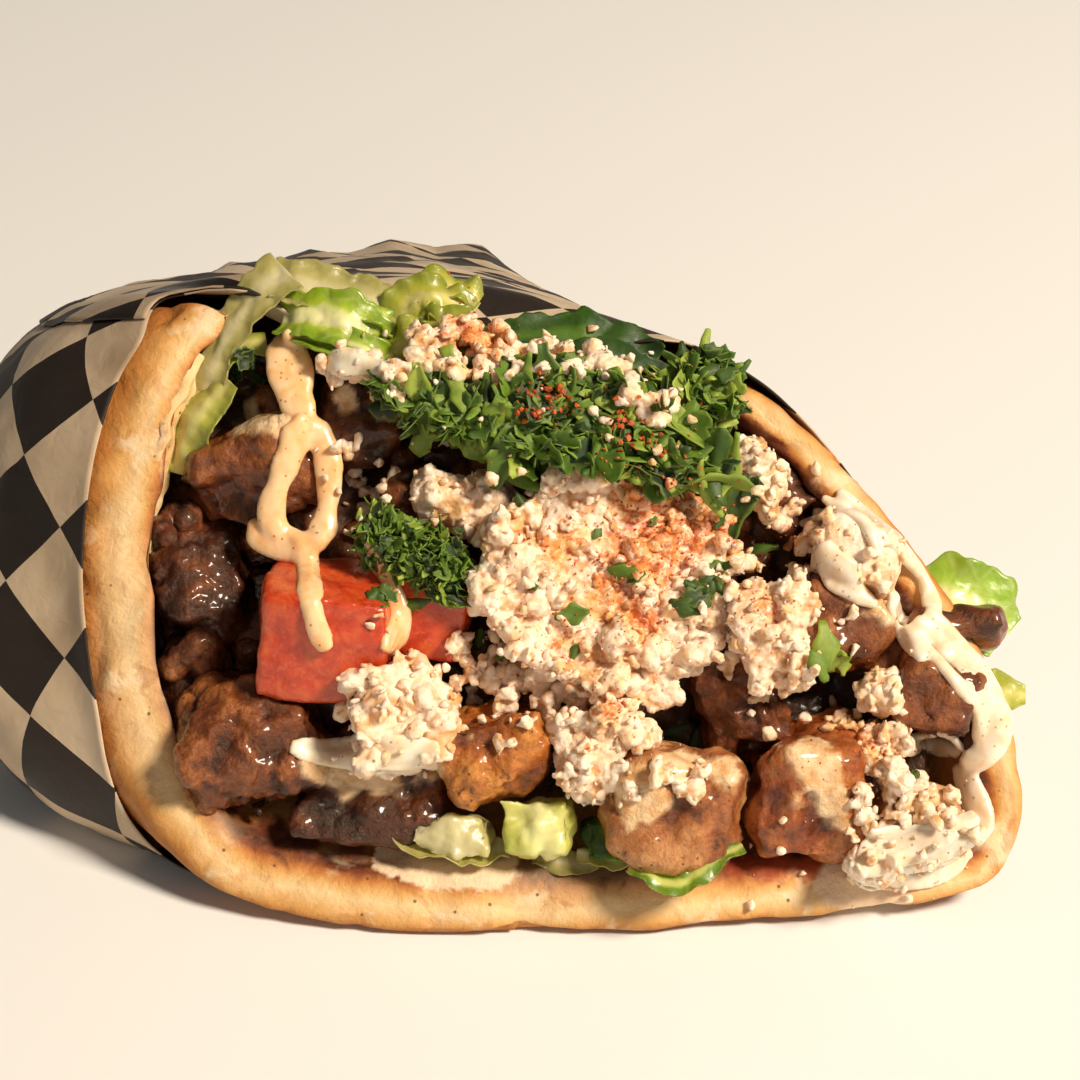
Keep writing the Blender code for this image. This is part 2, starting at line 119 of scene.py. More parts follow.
def grains(points, size, seed=0):
    """Packed grains: (distance to the nearest grain's centre in sizes, its random number)."""
    place = np.asarray(points, float) / size
    cell = np.floor(place)
    nearest = np.full(place.shape[:-1], 9.0)
    number = np.zeros(place.shape[:-1])
    for step in np.ndindex(3, 3, 3):
        near = cell + step - 1
        centre = near + np.stack([hashed(near, seed + k) for k in (1, 2, 3)], axis=-1)
        away = np.linalg.norm(place - centre, axis=-1)
        closer = away < nearest
        nearest = np.where(closer, away, nearest)
        number = np.where(closer, hashed(near, seed + 4), number)
    return nearest, number


def smoothstep(low, high, value):
    t = np.clip((value - low) / (high - low), 0.0, 1.0)
    return t * t * (3 - 2 * t)


# ---------------------------------------------------------------- meshes

def make_object(name, points, faces, material, nodes=(), smooth=True):
    mesh = bpy.data.meshes.new(name)
    mesh.from_pydata((np.asarray(points) * MM).tolist(), [], faces)
    return adopt(name, mesh, material, nodes, smooth)


def adopt(name, mesh, material, nodes=(), smooth=True):
    """An object for a finished mesh, with its normals facing out, riding on the wrap."""
    bm = bmesh.new()
    bm.from_mesh(mesh)
    bmesh.ops.recalc_face_normals(bm, faces=bm.faces)
    bm.to_mesh(mesh)
    bm.free()
    mesh.materials.clear()
    mesh.materials.append(material)
    if smooth:
        mesh.shade_smooth()
    obj = bpy.data.objects.new(name, mesh)
    bpy.context.scene.collection.objects.link(obj)
    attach(obj, "root")
    if nodes:
        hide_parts(*nodes)
    return obj


def vertex_array(mesh):
    co = np.empty(len(mesh.vertices) * 3, np.float32)
    mesh.vertices.foreach_get("co", co)
    return co.reshape(-1, 3).astype(float) / MM


def normal_array(mesh):
    normals = np.empty(len(mesh.vertices) * 3, np.float32)
    mesh.vertex_normals.foreach_get("vector", normals)
    return normals.reshape(-1, 3).astype(float)


def set_vertices(mesh, points):
    mesh.vertices.foreach_set("co", (points * MM).astype(np.float32).ravel())
    mesh.update()


def set_attribute(mesh, name, values):
    attribute = mesh.attributes.new(name, "FLOAT", "POINT")
    attribute.data.foreach_set("value", np.asarray(values, np.float32))


def with_modifiers(mesh, *modifiers):
    """The mesh after modifiers, each given as (type, {setting: value})."""
    temporary = bpy.data.objects.new("temporary", mesh)
    bpy.context.scene.collection.objects.link(temporary)
    for kind, settings in modifiers:
        modifier = temporary.modifiers.new(kind, kind)
        for setting, value in settings.items():
            setattr(modifier, setting, value)
    graph = bpy.context.evaluated_depsgraph_get()
    result = bpy.data.meshes.new_from_object(temporary.evaluated_get(graph))
    bpy.data.objects.remove(temporary)
    return result


def remeshed(mesh, voxel, smoothing=0):
    """An even skin of small faces over a closed mesh, with its corners softened."""
    steps = [("REMESH", {"mode": "VOXEL", "voxel_size": voxel * MM, "adaptivity": 0.0})]
    if smoothing:
        steps.append(("SMOOTH", {"factor": 0.5, "iterations": smoothing}))
    return with_modifiers(mesh, *steps)


def node_mesh(node):
    """A welded copy of a CAD node's mesh."""
    bm = bmesh.new()
    bm.from_mesh(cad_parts[node].data)
    bmesh.ops.remove_doubles(bm, verts=bm.verts, dist=0.01 * MM)
    mesh = bpy.data.meshes.new(node)
    bm.to_mesh(mesh)
    bm.free()
    return mesh


def displaced(mesh, height):
    """Moves each vertex out along its normal by height(points, normals) millimetres.

    The attribute "relief" keeps how high each vertex stands among its own kind, from 0 to 1.
    """
    points, normals = vertex_array(mesh), normal_array(mesh)
    moved = height(points, normals)
    set_vertices(mesh, points + normals * moved[:, None])
    low, high = np.quantile(moved, (0.03, 0.97))
    set_attribute(mesh, "relief", np.clip((moved - low) / max(high - low, 1e-6), 0, 1))
    return mesh


def strip_faces(rows, columns, closed_rows=False, closed_columns=False):
    """Quads of a grid whose points are numbered row by row."""
    row_steps = rows if closed_rows else rows - 1
    column_steps = columns if closed_columns else columns - 1
    faces = []
    for i in range(row_steps):
        a, b = i * columns, (i + 1) % rows * columns
        for j in range(column_steps):
            k = (j + 1) % columns
            faces.append((a + j, a + k, b + k, b + j))
    return faces


def thin_sheet(middle, thickness):
    """Points and faces of a closed sheet about a grid of points (rows, columns, 3)."""
    along = np.gradient(middle, axis=0)
    across = np.gradient(middle, axis=1)
    normal = np.cross(along, across)
    normal /= np.linalg.norm(normal, axis=-1, keepdims=True) + 1e-9
    half = normal * np.asarray(thickness)[..., None] / 2
    rows, columns = middle.shape[:2]
    front, back = (middle + half).reshape(-1, 3), (middle - half).reshape(-1, 3)
    count = rows * columns
    faces = strip_faces(rows, columns)
    faces += [tuple(count + i for i in reversed(face)) for face in faces]
    border = [j for j in range(columns)]
    border += [i * columns + columns - 1 for i in range(1, rows)]
    border += [(rows - 1) * columns + j for j in range(columns - 2, -1, -1)]
    border += [i * columns for i in range(rows - 2, 0, -1)]
    for a, b in zip(border, border[1:] + border[:1]):
        faces.append((b, a, count + a, count + b))
    return np.concatenate([front, back]), faces


def joined(parts):
    """Points and faces of many parts as one set."""
    points, faces, start = [], [], 0
    for part_points, part_faces in parts:
        points.append(part_points)
        faces += [tuple(i + start for i in face) for face in part_faces]
        start += len(part_points)
    return np.concatenate(points), faces


def spline(points, count):
    """Even samples along a smooth curve through points."""
    points = np.asarray(points, float)
    padded = np.concatenate([2 * points[:1] - points[1:2], points, 2 * points[-1:] - points[-2:-1]])
    reach = np.linspace(0, len(points) - 1, count)
    i = np.minimum(reach.astype(int), len(points) - 2)
    t = (reach - i)[:, None]
    a, b, c, d = (padded[i + k] for k in range(4))
    bend = (2 * a - 5 * b + 4 * c - d) * t**2 + (3 * b - a - 3 * c + d) * t**3
    return 0.5 * (2 * b + (c - a) * t + bend)


def ball_template(divisions):
    bm = bmesh.new()
    bmesh.ops.create_icosphere(bm, subdivisions=divisions, radius=1.0)
    points = np.array([v.co for v in bm.verts])
    faces = [tuple(v.index for v in f.verts) for f in bm.faces]
    bm.free()
    return points, faces


def chip_template(seed):
    """An angular chip with broken faces, about one unit in radius."""
    rng = np.random.default_rng(seed)
    bm = bmesh.new()
    for _ in range(13):
        away = rng.normal(size=3)
        bm.verts.new(away / np.linalg.norm(away) * rng.uniform(0.75, 1.1))
    made = bmesh.ops.convex_hull(bm, input=bm.verts)
    bmesh.ops.delete(bm, geom=made["geom_interior"], context="VERTS")
    bm.verts.index_update()
    points = np.array([v.co for v in bm.verts])
    faces = [tuple(v.index for v in f.verts) for f in bm.faces]
    bm.free()
    return points, faces


COARSE_BALL = ball_template(1)
FINE_BALL = ball_template(2)
CHIPS = [chip_template(seed) for seed in range(24)]


def spun(rng):
    """A random turn in space."""
    turn, _ = np.linalg.qr(rng.normal(size=(3, 3)))
    return turn


def crumb(centre, size, rng, rough=0.3, ball=None):
    """An uneven grain about a place: a rounded ball, or an angular chip without one."""
    if ball is None:
        points, faces = CHIPS[int(rng.integers(len(CHIPS)))]
        turn = spun(rng)
        if np.linalg.det(turn) < 0:
            faces = [face[::-1] for face in faces]
        return (points @ turn.T * rng.uniform(0.7, 1.15, 3)) * size / 2 + centre, faces
    points, faces = ball
    seed = int(rng.integers(1000))
    stretch = rng.uniform(0.7, 1.15, 3)
    shape = points * stretch * (1 + rough * noise(points * 1.3 + seed, 0.9, seed))[:, None]
    return shape * size / 2 + centre, faces


# ---------------------------------------------------------------- materials

class Paint:
    """A procedural material on a Principled BSDF. Texture sizes are millimetres."""

    def __init__(self, name, roughness=0.5, **settings):
        self.material = bpy.data.materials.new(name)
        self.material.use_nodes = True
        self.tree = self.material.node_tree
        self.shader = self.tree.nodes["Principled BSDF"]
        self.place = self.tree.nodes.new("ShaderNodeTexCoord").outputs["Object"]
        self.set(Roughness=roughness, **settings)

    def set(self, **settings):
        for name, value in settings.items():
            socket = self.shader.inputs[name.replace("_", " ")]
            if isinstance(value, bpy.types.NodeSocket):
                self.tree.links.new(value, socket)
            else:
                socket.default_value = value

    def node(self, kind, inputs=(), **settings):
        node = self.tree.nodes.new("ShaderNode" + kind)
        for name, value in settings.items():
            setattr(node, name, value)
        for name, value in dict(inputs).items():
            if isinstance(value, bpy.types.NodeSocket):
                self.tree.links.new(value, node.inputs[name])
            else:
                node.inputs[name].default_value = value
        return node

    def noise(self, size, detail=3.0, distortion=0.0, rough=0.5, place=None):
        inputs = {
            "Vector": place or self.place, "Scale": 1 / (size * MM), "Detail": detail,
            "Distortion": distortion, "Roughness": rough,
        }
        return self.node("TexNoise", inputs).outputs["Fac"]

    def cells(self, size, feature="F1", randomness=1.0):
        inputs = {"Vector": self.place, "Scale": 1 / (size * MM), "Randomness": randomness}
        return self.node("TexVoronoi", inputs, feature=feature).outputs["Distance"]

    def attribute(self, name):
        return self.node("Attribute", attribute_name=name).outputs["Fac"]

    def math(self, operation, a, b=0.0):
        return self.node("Math", {0: a, 1: b}, operation=operation).outputs[0]

    def between(self, value, low, high, kind="SMOOTHSTEP"):
        """0 at low and below, 1 at high and above."""
        inputs = {"Value": value, "From Min": low, "From Max": high}
        return self.node("MapRange", inputs, interpolation_type=kind).outputs["Result"]

    def ramp(self, value, stops):
        """A colour that follows (position, (r, g, b)) stops."""
        node = self.node("ValToRGB", {"Fac": value})
        elements = node.color_ramp.elements
        while len(elements) < len(stops):
            elements.new(0.5)
        for element, (position, colour) in zip(elements, stops):
            element.position = position
            element.color = (*colour, 1.0)
        return node.outputs["Color"]

    def mix(self, factor, a, b, blend="MIX"):
        node = self.node("Mix", data_type="RGBA", blend_type=blend)
        for socket, value in zip((node.inputs[0], node.inputs[6], node.inputs[7]), (factor, a, b)):
            if isinstance(value, bpy.types.NodeSocket):
                self.tree.links.new(value, socket)
            elif isinstance(value, tuple):
                socket.default_value = (*value, 1.0)
            else:
                socket.default_value = value
        return node.outputs[2]

    def bump(self, height, depth, strength=1.0):
        """Relief of the given depth in millimetres, on top of any that is there already."""
        node = self.node("Bump", {"Height": height, "Distance": depth * MM, "Strength": strength})
        normal = self.shader.inputs["Normal"]
        if normal.links:
            self.tree.links.new(normal.links[0].from_socket, node.inputs["Normal"])
        self.tree.links.new(node.outputs["Normal"], normal)


def srgb(red, green, blue):
    """A colour from 0 to 255 as linear light."""
    return tuple(((v / 255 + 0.055) / 1.055) ** 2.4 if v > 10 else v / 3294.6
        for v in (red, green, blue))


# ---------------------------------------------------------------- the body's shape

# The bread's outer edge in the mouth (across, up), from the end of the left flap, down
# round the bottom and up the far side, and then the seam where only the paper stands.
BREAD_RIM = [
    (-52, 43), (-62, 34), (-67, 18), (-68.5, 1), (-66.5, -15), (-60, -31), (-45, -43),
    (-24, -48), (0, -48), (24, -47), (46, -44.5), (63, -41), (68, -28), (63, -9),
    (51, 10), (36, 26), (21, 36),
]
SEAM_RIM = [(4, 42), (-14, 48.5), (-34, 48)]
BODY_SKEW = math.radians(20.0)
BELLY_CENTRE = np.array((-13.0, -2.0, 28.5))
BELLY_LEAN = math.radians(31.0)
BELLY_HALF = (83.0, 32.5)
BELLY_POWER = 4.2
BELLY_RIGHT_SHRINK = (0.85, 0.7)
TAIL_CENTRE = np.array((-35.0, 78.0, 9.5))
TAIL_LEAN = math.radians(5.0)
TAIL_HALF = (36.0, 8.0)
TAIL_POWER = 2.4
BREAD_AT_RIM = 9.6
BREAD_AT_FAR_RIM = 6.4
BREAD_AT_TAIL = 4.2
BREAD_REACH = 0.86
PAPER_BACKSET = 0.07
PAPER_GAP = 0.55
PAPER_SLACK = 7.5
SLACK_SPREAD = 0.085
COLLAR_REACH = -0.035
TURN = 2 * math.pi


# Samples of the rim between two of its points.
CURVE_STEPS = 24


def closed_curve(points, steps=CURVE_STEPS):
    """Samples round a smooth closed curve, and each one's share of its length."""
    points = np.asarray(points, float)
    count = len(points)
    padded = np.concatenate([points, points, points])
    reach = np.linspace(0, count, count * steps + 1)
    samples = np.empty((len(reach), 2))
    for k, place in enumerate(reach):
        i = min(int(place), count - 1)
        t = place - i
        a, b, c, d = padded[count + i - 1 : count + i + 3]
        bend = (2 * a - 5 * b + 4 * c - d) * t**2 + (3 * b - a - 3 * c + d) * t**3
        samples[k] = 0.5 * (2 * b + (c - a) * t + bend)
    steps_taken = np.linalg.norm(np.diff(samples, axis=0), axis=1)
    lengths = np.concatenate([[0.0], np.cumsum(steps_taken)])
    return samples, lengths / lengths[-1], lengths[-1]


RIM_SAMPLES, RIM_SHARES, RIM_LENGTH = closed_curve(BREAD_RIM + SEAM_RIM)
BREAD_END = RIM_SHARES[(len(BREAD_RIM) - 1) * CURVE_STEPS]
LOW_LEFT = RIM_SHARES[5 * CURVE_STEPS]


def rim_at(share):
    share = np.asarray(share, float) % 1.0
    return np.stack([np.interp(share, RIM_SHARES, RIM_SAMPLES[:, k]) for k in (0, 1)])


def oval_offset(half, power, angle):
    c, s = np.cos(angle), np.sin(angle)
    reach = (abs(c) ** power + abs(s) ** power) ** (-1 / power)
    return np.stack([half[0] * reach * c, half[1] * reach * s])


def ring_point(centre, lean, offset):
    side = np.array((math.cos(BODY_SKEW), math.sin(BODY_SKEW), 0.0))
    back = np.array((-math.sin(BODY_SKEW), math.cos(BODY_SKEW), 0.0))
    up = back * math.sin(lean) + np.array((0.0, 0.0, math.cos(lean)))
    return centre + side * offset[0][..., None] + up * offset[1][..., None]


def body_point(share, depth):
    """The outside of the bread: depth is 0 at the mouth and 1 at the tucked end."""
    share, depth = np.broadcast_arrays(np.asarray(share, float), np.asarray(depth, float))
    across, up = rim_at(share)
    rim = mouth_point(across, up, 1.2 * np.sin(share * 3 * TURN + 1.0))
    angle = np.arctan2(up, across * 0.7)
    like_mouth = np.stack([across * BELLY_RIGHT_SHRINK[0], up * BELLY_RIGHT_SHRINK[1]])
    blend = smoothstep(-30.0, 20.0, across)
    full = oval_offset(BELLY_HALF, BELLY_POWER, angle)
    belly = ring_point(BELLY_CENTRE, BELLY_LEAN, full + (like_mouth - full) * blend)
    tail = ring_point(TAIL_CENTRE, TAIL_LEAN, oval_offset(TAIL_HALF, TAIL_POWER, angle))
    front, depth = (1 - depth)[..., None], depth[..., None]
    point = rim * front**2 + belly * (2 * front * depth) + tail * depth**2
    lowest = 1.2 * smoothstep(0.0, PAPER_BACKSET, depth[..., 0])
    point[..., 2] = np.maximum(point[..., 2], lowest)
    return point


def body_normal(share, depth):
    step = 0.004
    along = body_point(share, depth + step) - body_point(share, depth - step)
    around = body_point(share + step, depth) - body_point(share - step, depth)
    normal = np.cross(along, around)
    return normal / np.linalg.norm(normal, axis=-1, keepdims=True)


def bread_thickness(share, depth):
    rim = BREAD_AT_RIM + (BREAD_AT_FAR_RIM - BREAD_AT_RIM) * smoothstep(0.4, 0.56, share)
    rim = rim * (0.80 + 0.20 * smoothstep(0.01, 0.11, share))
    return rim + (BREAD_AT_TAIL - rim) * smoothstep(0.0, 0.7, depth)


def mouth_inward(share):
    """The way from the rim into the mouth, in the mouth's own plane."""
    step = 0.006
    across, up = rim_at(share + step) - rim_at(share - step)
    inward = ACROSS * -up[..., None] + UP_SLOPE * across[..., None]
    return inward / np.linalg.norm(inward, axis=-1, keepdims=True)


def bread_frame(share, depth):
    """(outside, way inward) of the bread. Its rim is turned to face straight out of the mouth."""
    outside = body_point(share, depth)
    inward = -body_normal(share, np.maximum(depth, 0.03))
    facing = (1 - smoothstep(0.02, 0.22, depth))[..., None]
    flat = mouth_inward(share)
    flat = flat * np.sign((flat * inward).sum(axis=-1, keepdims=True))
    inward = inward * (1 - facing) + flat * facing
    inward = inward / np.linalg.norm(inward, axis=-1, keepdims=True)
    left = smoothstep(-45.0, -62.0, rim_at(share)[0])[..., None]
    return outside + ACROSS * (RIM_SHIFT * left * facing), inward


# ---------------------------------------------------------------- bread

PITA_START = -0.012
PITA_COLUMNS = 250
PITA_PUFF = 0.10
RIM_SHIFT = 3.4
CAP_SHARE = 0.40
CAP_FLATNESS = 0.72
# Where sauce has been smeared along the bread's edge, and juice has stained it.
BREAD_SMEARS = [(-22, -36.5, 3), (-17, -37.5, 3.5), (-12, -38, 3.5), (-7, -38, 3), (41, -40, 4),
    (48, -41, 4)]
BREAD_STAINS = [(27, -37.5, 2.2), (32, -37.8, 2.4), (37, -38, 2.2), (-48, -26, 4), (22, -36.5, 2)]

BREAD_FLOUR = [
    (-61.5, 12, 4), (-61, 4, 5), (-61, -4, 6), (-60.5, -11, 6), (-58, -18, 5.5), (-54.5, -25, 5),
    (-46, -32, 4),
    (-4, -40.5, 5), (4, -41, 5), (12, -41, 5), (34, 27, 3), (44, 17, 3),
]
BREAD_TOASTS = [
    (29.5, 26.5, 2.8), (33, 23.4, 2.4), (24.5, 30.6, 2.4), (48, 9.3, 2.0), (45.6, 12, 1.8),
    (40, 18, 1.6),
    (-52, -22, 2.4), (-46, -28.5, 2.4), (-40, -32, 2.4), (-34, -34, 2.0), (-28, -35, 2.0),
    (52, 3, 1.6),
]


def pita_paint():
    """Baked bread: pale on the face of the rim, golden beside it and toasted inside. Its outer side
    is darker where it curves away: partly crust, partly painted shade.
    """
    paint = Paint("pita_crust", roughness=0.66)
    edge = paint.attribute("edge")
    broad = paint.math("MULTIPLY", paint.math("SUBTRACT", paint.noise(11, 3, 0.4), 0.5), 0.34)
    fine = paint.math("MULTIPLY", paint.math("SUBTRACT", paint.noise(2.6, 4, 0.5), 0.5), 0.22)
    place = paint.math("ADD", edge, paint.math("ADD", broad, fine))
    # Across the rim: darker brown on its outer side, where it curves away (partly crust, partly
    # painted shade), pale on its face, golden beside it, a dark brown line where it turns in, and
    # brown inside.
    colour = paint.ramp(paint.between(place, -1.0, 2.0, "LINEAR"), [
        (0.00, srgb(180, 116, 52)), (0.27, srgb(158, 92, 36)), (0.345, srgb(188, 122, 54)),
        (0.40, srgb(216, 162, 92)), (0.49, srgb(236, 202, 148)), (0.545, srgb(220, 168, 98)),
        (0.59, srgb(192, 120, 52)), (0.622, srgb(126, 60, 20)), (0.655, srgb(72, 30, 10)),
        (0.72, srgb(150, 90, 40)), (0.95, srgb(184, 130, 74)),
    ])
    toast = paint.between(paint.noise(9, 5, 0.7, 0.6), 0.52, 0.66)
    colour = paint.mix(paint.math("MULTIPLY", toast, 0.34), colour, srgb(190, 118, 52))
    flour = paint.between(paint.noise(8, 4, 0.3, 0.6), 0.56, 0.70)
    facing = paint.math("SUBTRACT", 1.0, paint.between(paint.math("ABSOLUTE",
        paint.math("SUBTRACT", edge, 0.5)), 0.3, 0.6))
    flour = paint.math("MULTIPLY", flour, facing)
    colour = paint.mix(paint.math("MULTIPLY", flour, 0.65), colour, srgb(240, 220, 184))
    dusted = paint.math("ADD", paint.attribute("floury"),
        paint.math("SUBTRACT", paint.noise(6.0, 5, 0.5, 0.6), 0.5))
    dusted = paint.math("MULTIPLY", paint.between(dusted, 0.3, 0.95), facing)
    colour = paint.mix(paint.math("MULTIPLY", dusted, 0.30), colour, srgb(234, 208, 166))
    dark_spots = paint.between(paint.noise(5.0, 5, 0.9, 0.6), 0.60, 0.68)
    inside = paint.between(edge, 0.6, 1.0)
    spots_inside = paint.math("MULTIPLY", dark_spots, inside)
    colour = paint.mix(paint.math("MULTIPLY", spots_inside, 0.9), colour, srgb(84, 36, 12))
    streaks = paint.math("MULTIPLY", paint.between(paint.noise(6.0, 5, 1.2, 0.6), 0.58, 0.68), 0.4)
    colour = paint.mix(streaks, colour, srgb(168, 96, 40))
    specks = paint.math("SUBTRACT", 1.0, paint.between(paint.cells(3.4), 0.05, 0.10))
    colour = paint.mix(paint.math("MULTIPLY", specks, 0.8), colour, srgb(84, 52, 22))
    smear = paint.math("ADD", paint.attribute("smear"),
        paint.math("SUBTRACT", paint.noise(3.0, 5, 0.6, 0.6), 0.5))
    colour = paint.mix(paint.between(smear, 0.35, 0.6), colour, srgb(240, 208, 172))
    stain = paint.math("ADD", paint.attribute("stain"),
        paint.math("SUBTRACT", paint.noise(2.6, 5, 0.6, 0.6), 0.5))
    colour = paint.mix(paint.math("MULTIPLY", paint.between(stain, 0.3, 0.7), 0.7), colour,
        srgb(172, 68, 26))
    toasted = paint.math("ADD", paint.attribute("toasted"),
        paint.math("SUBTRACT", paint.noise(2.2, 5, 0.6, 0.65), 0.5))
    colour = paint.mix(paint.math("MULTIPLY", paint.between(toasted, 0.35, 0.75), 0.85), colour,
        srgb(104, 44, 14))
    paint.set(Base_Color=colour, Subsurface_Weight=0.10, Subsurface_Scale=0.003)
    paint.bump(paint.noise(0.9, 5, 0.0, 0.6), 0.3, 0.6)
    paint.bump(paint.noise(3.6, 4, 0.4, 0.6), 0.9, 0.5)
    return paint.material


def make_pita():
    """One thick sheet round the filling, with a puffy rolled rim."""
    soft_end = 1 - np.cos(np.linspace(0.12, math.pi / 2, 9))
    half_share = BREAD_AT_RIM / 2 / RIM_LENGTH
    first = PITA_START + half_share * soft_end
    last = BREAD_END - half_share * soft_end[::-1]
    shares = np.concatenate([first, np.linspace(first[-1], last[0], PITA_COLUMNS)[1:-1], last])
    near_end = np.minimum(shares - PITA_START, BREAD_END - shares) / half_share
    end_soft = np.sqrt(1 - (1 - np.clip(near_end, 0, 1)) ** 2)
    speed = np.linalg.norm(body_point(shares, 0.01) - body_point(shares, 0.0), axis=-1) / 0.01
    puff = 1 + PITA_PUFF * noise(np.stack([shares * RIM_LENGTH, shares * 0, shares * 0], -1), 24, 5)
    cap = BREAD_AT_RIM * CAP_SHARE / speed
    sections = []
    run = (np.linspace(0, 1, 44) ** 1.6)[1:]
    for reach in run[::-1]:
        sections.append((cap + (BREAD_REACH - cap) * reach, -1.0, -1))
    for angle in np.linspace(-math.pi / 2, math.pi / 2, 21):
        flat = math.copysign(abs(math.sin(angle)) ** CAP_FLATNESS, angle)
        sections.append((cap * (1 - math.cos(angle) ** CAP_FLATNESS), flat, 0))
    for reach in run[::2]:
        sections.append((cap + (BREAD_REACH - cap) * reach, 1.0, 1))
    rows, edges = [], []
    for depth, side, part in sections:
        surface, inward = bread_frame(shares, depth)
        thick = bread_thickness(shares, depth) * puff
        middle = surface + inward * (thick / 2)[:, None]
        rows.append(middle + inward * (side * thick / 2 * end_soft)[:, None])
        away = (depth - cap) * speed
        edges.append((side + 1) / 2 + part * away / 16)
    grid = np.stack(rows)
    faces = strip_faces(len(rows), len(shares), closed_rows=True)
    columns = len(shares)
    for column in (0, columns - 1):
        faces.append(tuple(i * columns + column for i in range(len(rows))))
    mesh = bpy.data.meshes.new("pita_bread")
    mesh.from_pydata((grid.reshape(-1, 3) * MM).tolist(), [], faces)
    bm = bmesh.new()
    bm.from_mesh(mesh)
    bmesh.ops.recalc_face_normals(bm, faces=bm.faces)
    bm.to_mesh(mesh)
    bm.free()
    set_attribute(mesh, "edge", np.stack(edges).ravel())

    def relief(points, normals):
        low = points[:, 2] < 1.0
        dents = -1.1 * np.clip(0.20 - ridged(points, 17, 2, 13), 0, 1) / 0.20
        height = 0.8 * fractal(points, 12, 3, 11) + 0.2 * noise(points, 2.6, 12) + dents
        return np.where(low, 0.0, height)

    displaced(mesh, relief)
    points = vertex_array(mesh)
    set_attribute(mesh, "smear", spotted(points, BREAD_SMEARS))
    set_attribute(mesh, "stain", spotted(points, BREAD_STAINS))
    set_attribute(mesh, "floury", spotted(points, BREAD_FLOUR))
    inner = smoothstep(0.55, 0.85, np.stack(edges).ravel())
    set_attribute(mesh, "toasted", spotted(points, BREAD_TOASTS) * inner)
    adopt("pita_bread", mesh, pita_paint(), ["pita"])


def make_inner_fold():
    """The edge of the bread's second layer, which shows as a thin pale strip at the upper left."""
    spine = [(-50.4, 35.6, -1.6), (-52.6, 31.0, -1.4), (-55.0, 25.0, -1.2), (-56.6, 18.6, -1.6),
        (-57.6, 12.6, -2.6), (-58.4, 7.0, -4.0)]
    grid = leaf_grid(spine, (3.0, 4.6, 4.6, 4.0, 3.0, 1.8), 14, 0.2, 0.2, 2, seed=15)
    points, faces = thin_sheet(grid, np.full(grid.shape[:2], 1.5))
    obj = make_object("pita_inner_layer", points, faces, bpy.data.materials["pita_crust"])
    obj.data = with_modifiers(obj.data, ("SUBSURF", {"levels": 1, "render_levels": 1}))
    set_attribute(obj.data, "edge", np.full(len(obj.data.vertices), 0.42))


# ---------------------------------------------------------------- paper

PAPER_COLUMNS = 300
PAPER_ROWS = 96
PAPER_SHEET = 0.25
PAPER_SEAM = 0.985
PAPER_OVERLAP = 0.03
CHECK_SIDE = 13.5
LEFT_FORWARD = 0.05
LIP_DROP = 10.0
LIP_REACH = 0.17
CREST_DROP = 3.0
CHECK_TURN = math.radians(45.0)
CHECK_SHIFT = (0.15, 0.55)
FLANK_SHARE = 0.12


def collar_share(share):
    share = share % 1.0
    from_left = smoothstep(BREAD_END - 0.10, BREAD_END + 0.02, share)
    return from_left * (1 - smoothstep(0.985, 1.0, share))


def paper_slack(share, depth):
    around = np.exp(-(((share % 1.0 - LOW_LEFT) / SLACK_SPREAD) ** 2))
    along = smoothstep(0.04, 0.24, depth) * (1 - smoothstep(0.45, 0.9, depth))
    return PAPER_SLACK * around * along


def paper_lip(share, depth):
    """How far the collar's front is pressed down onto the filling."""
    place = share % 1.0
    middle = smoothstep(BREAD_END + 0.005, BREAD_END + 0.08,
        place) * (1 - smoothstep(0.955, 0.995, place))
    behind = smoothstep(BREAD_END + 0.03, BREAD_END + 0.12,
        place) * (1 - smoothstep(0.90, 0.965, place))
    crest = CREST_DROP * behind * smoothstep(-0.02, LIP_REACH,
        depth) * (1 - smoothstep(0.5, 1.0, depth))
    return crest + LIP_DROP * middle * (1 - smoothstep(-0.02, LIP_REACH, depth))


def paper_paint():
    paint = Paint("check_paper", roughness=0.5)
    uv = paint.node("UVMap", uv_map="sheet").outputs["UV"]
    turned = paint.node("Mapping", {
        "Vector": uv, "Rotation": (0.0, 0.0, CHECK_TURN), "Location": (*CHECK_SHIFT, 0.0),
        "Scale": (1 / CHECK_SIDE, 1 / CHECK_SIDE, 1.0),
    }, vector_type="POINT").outputs["Vector"]
    checks = paint.node("TexChecker", {"Vector": turned, "Scale": 1.0}).outputs["Fac"]
    grime = paint.noise(16, 4, 0.5)
    cream = paint.ramp(grime, [(0.3, srgb(186, 162, 132)), (0.7, srgb(214, 192, 164))])
    brown = paint.ramp(grime, [(0.3, srgb(24, 15, 8)), (0.7, srgb(44, 31, 22))])
    colour = paint.mix(checks, cream, brown)
    grease = paint.between(paint.noise(26, 3, 0.4), 0.52, 0.70)
    colour = paint.mix(paint.math("MULTIPLY", grease, 0.35), colour, srgb(120, 92, 62), "MULTIPLY")
    paint.set(Base_Color=colour, Subsurface_Weight=0.05, Subsurface_Scale=0.001)
    paint.set(Roughness=paint.ramp(grease, [(0.0, (0.6,) * 3), (1.0, (0.38,) * 3)]))
    paint.bump(paint.noise(3.5, 5, 0.8), 0.5, 0.4)
    return paint.material


# The sleeve's pleats towards its tail, and its crumples, in millimetres.
PLEATS = 14
PLEAT_DEPTH = 1.9
TAIL_PLEAT_DEPTH = 2.0
BROAD_CRUMPLE = 2.2
FINE_CRUMPLE = 0.9


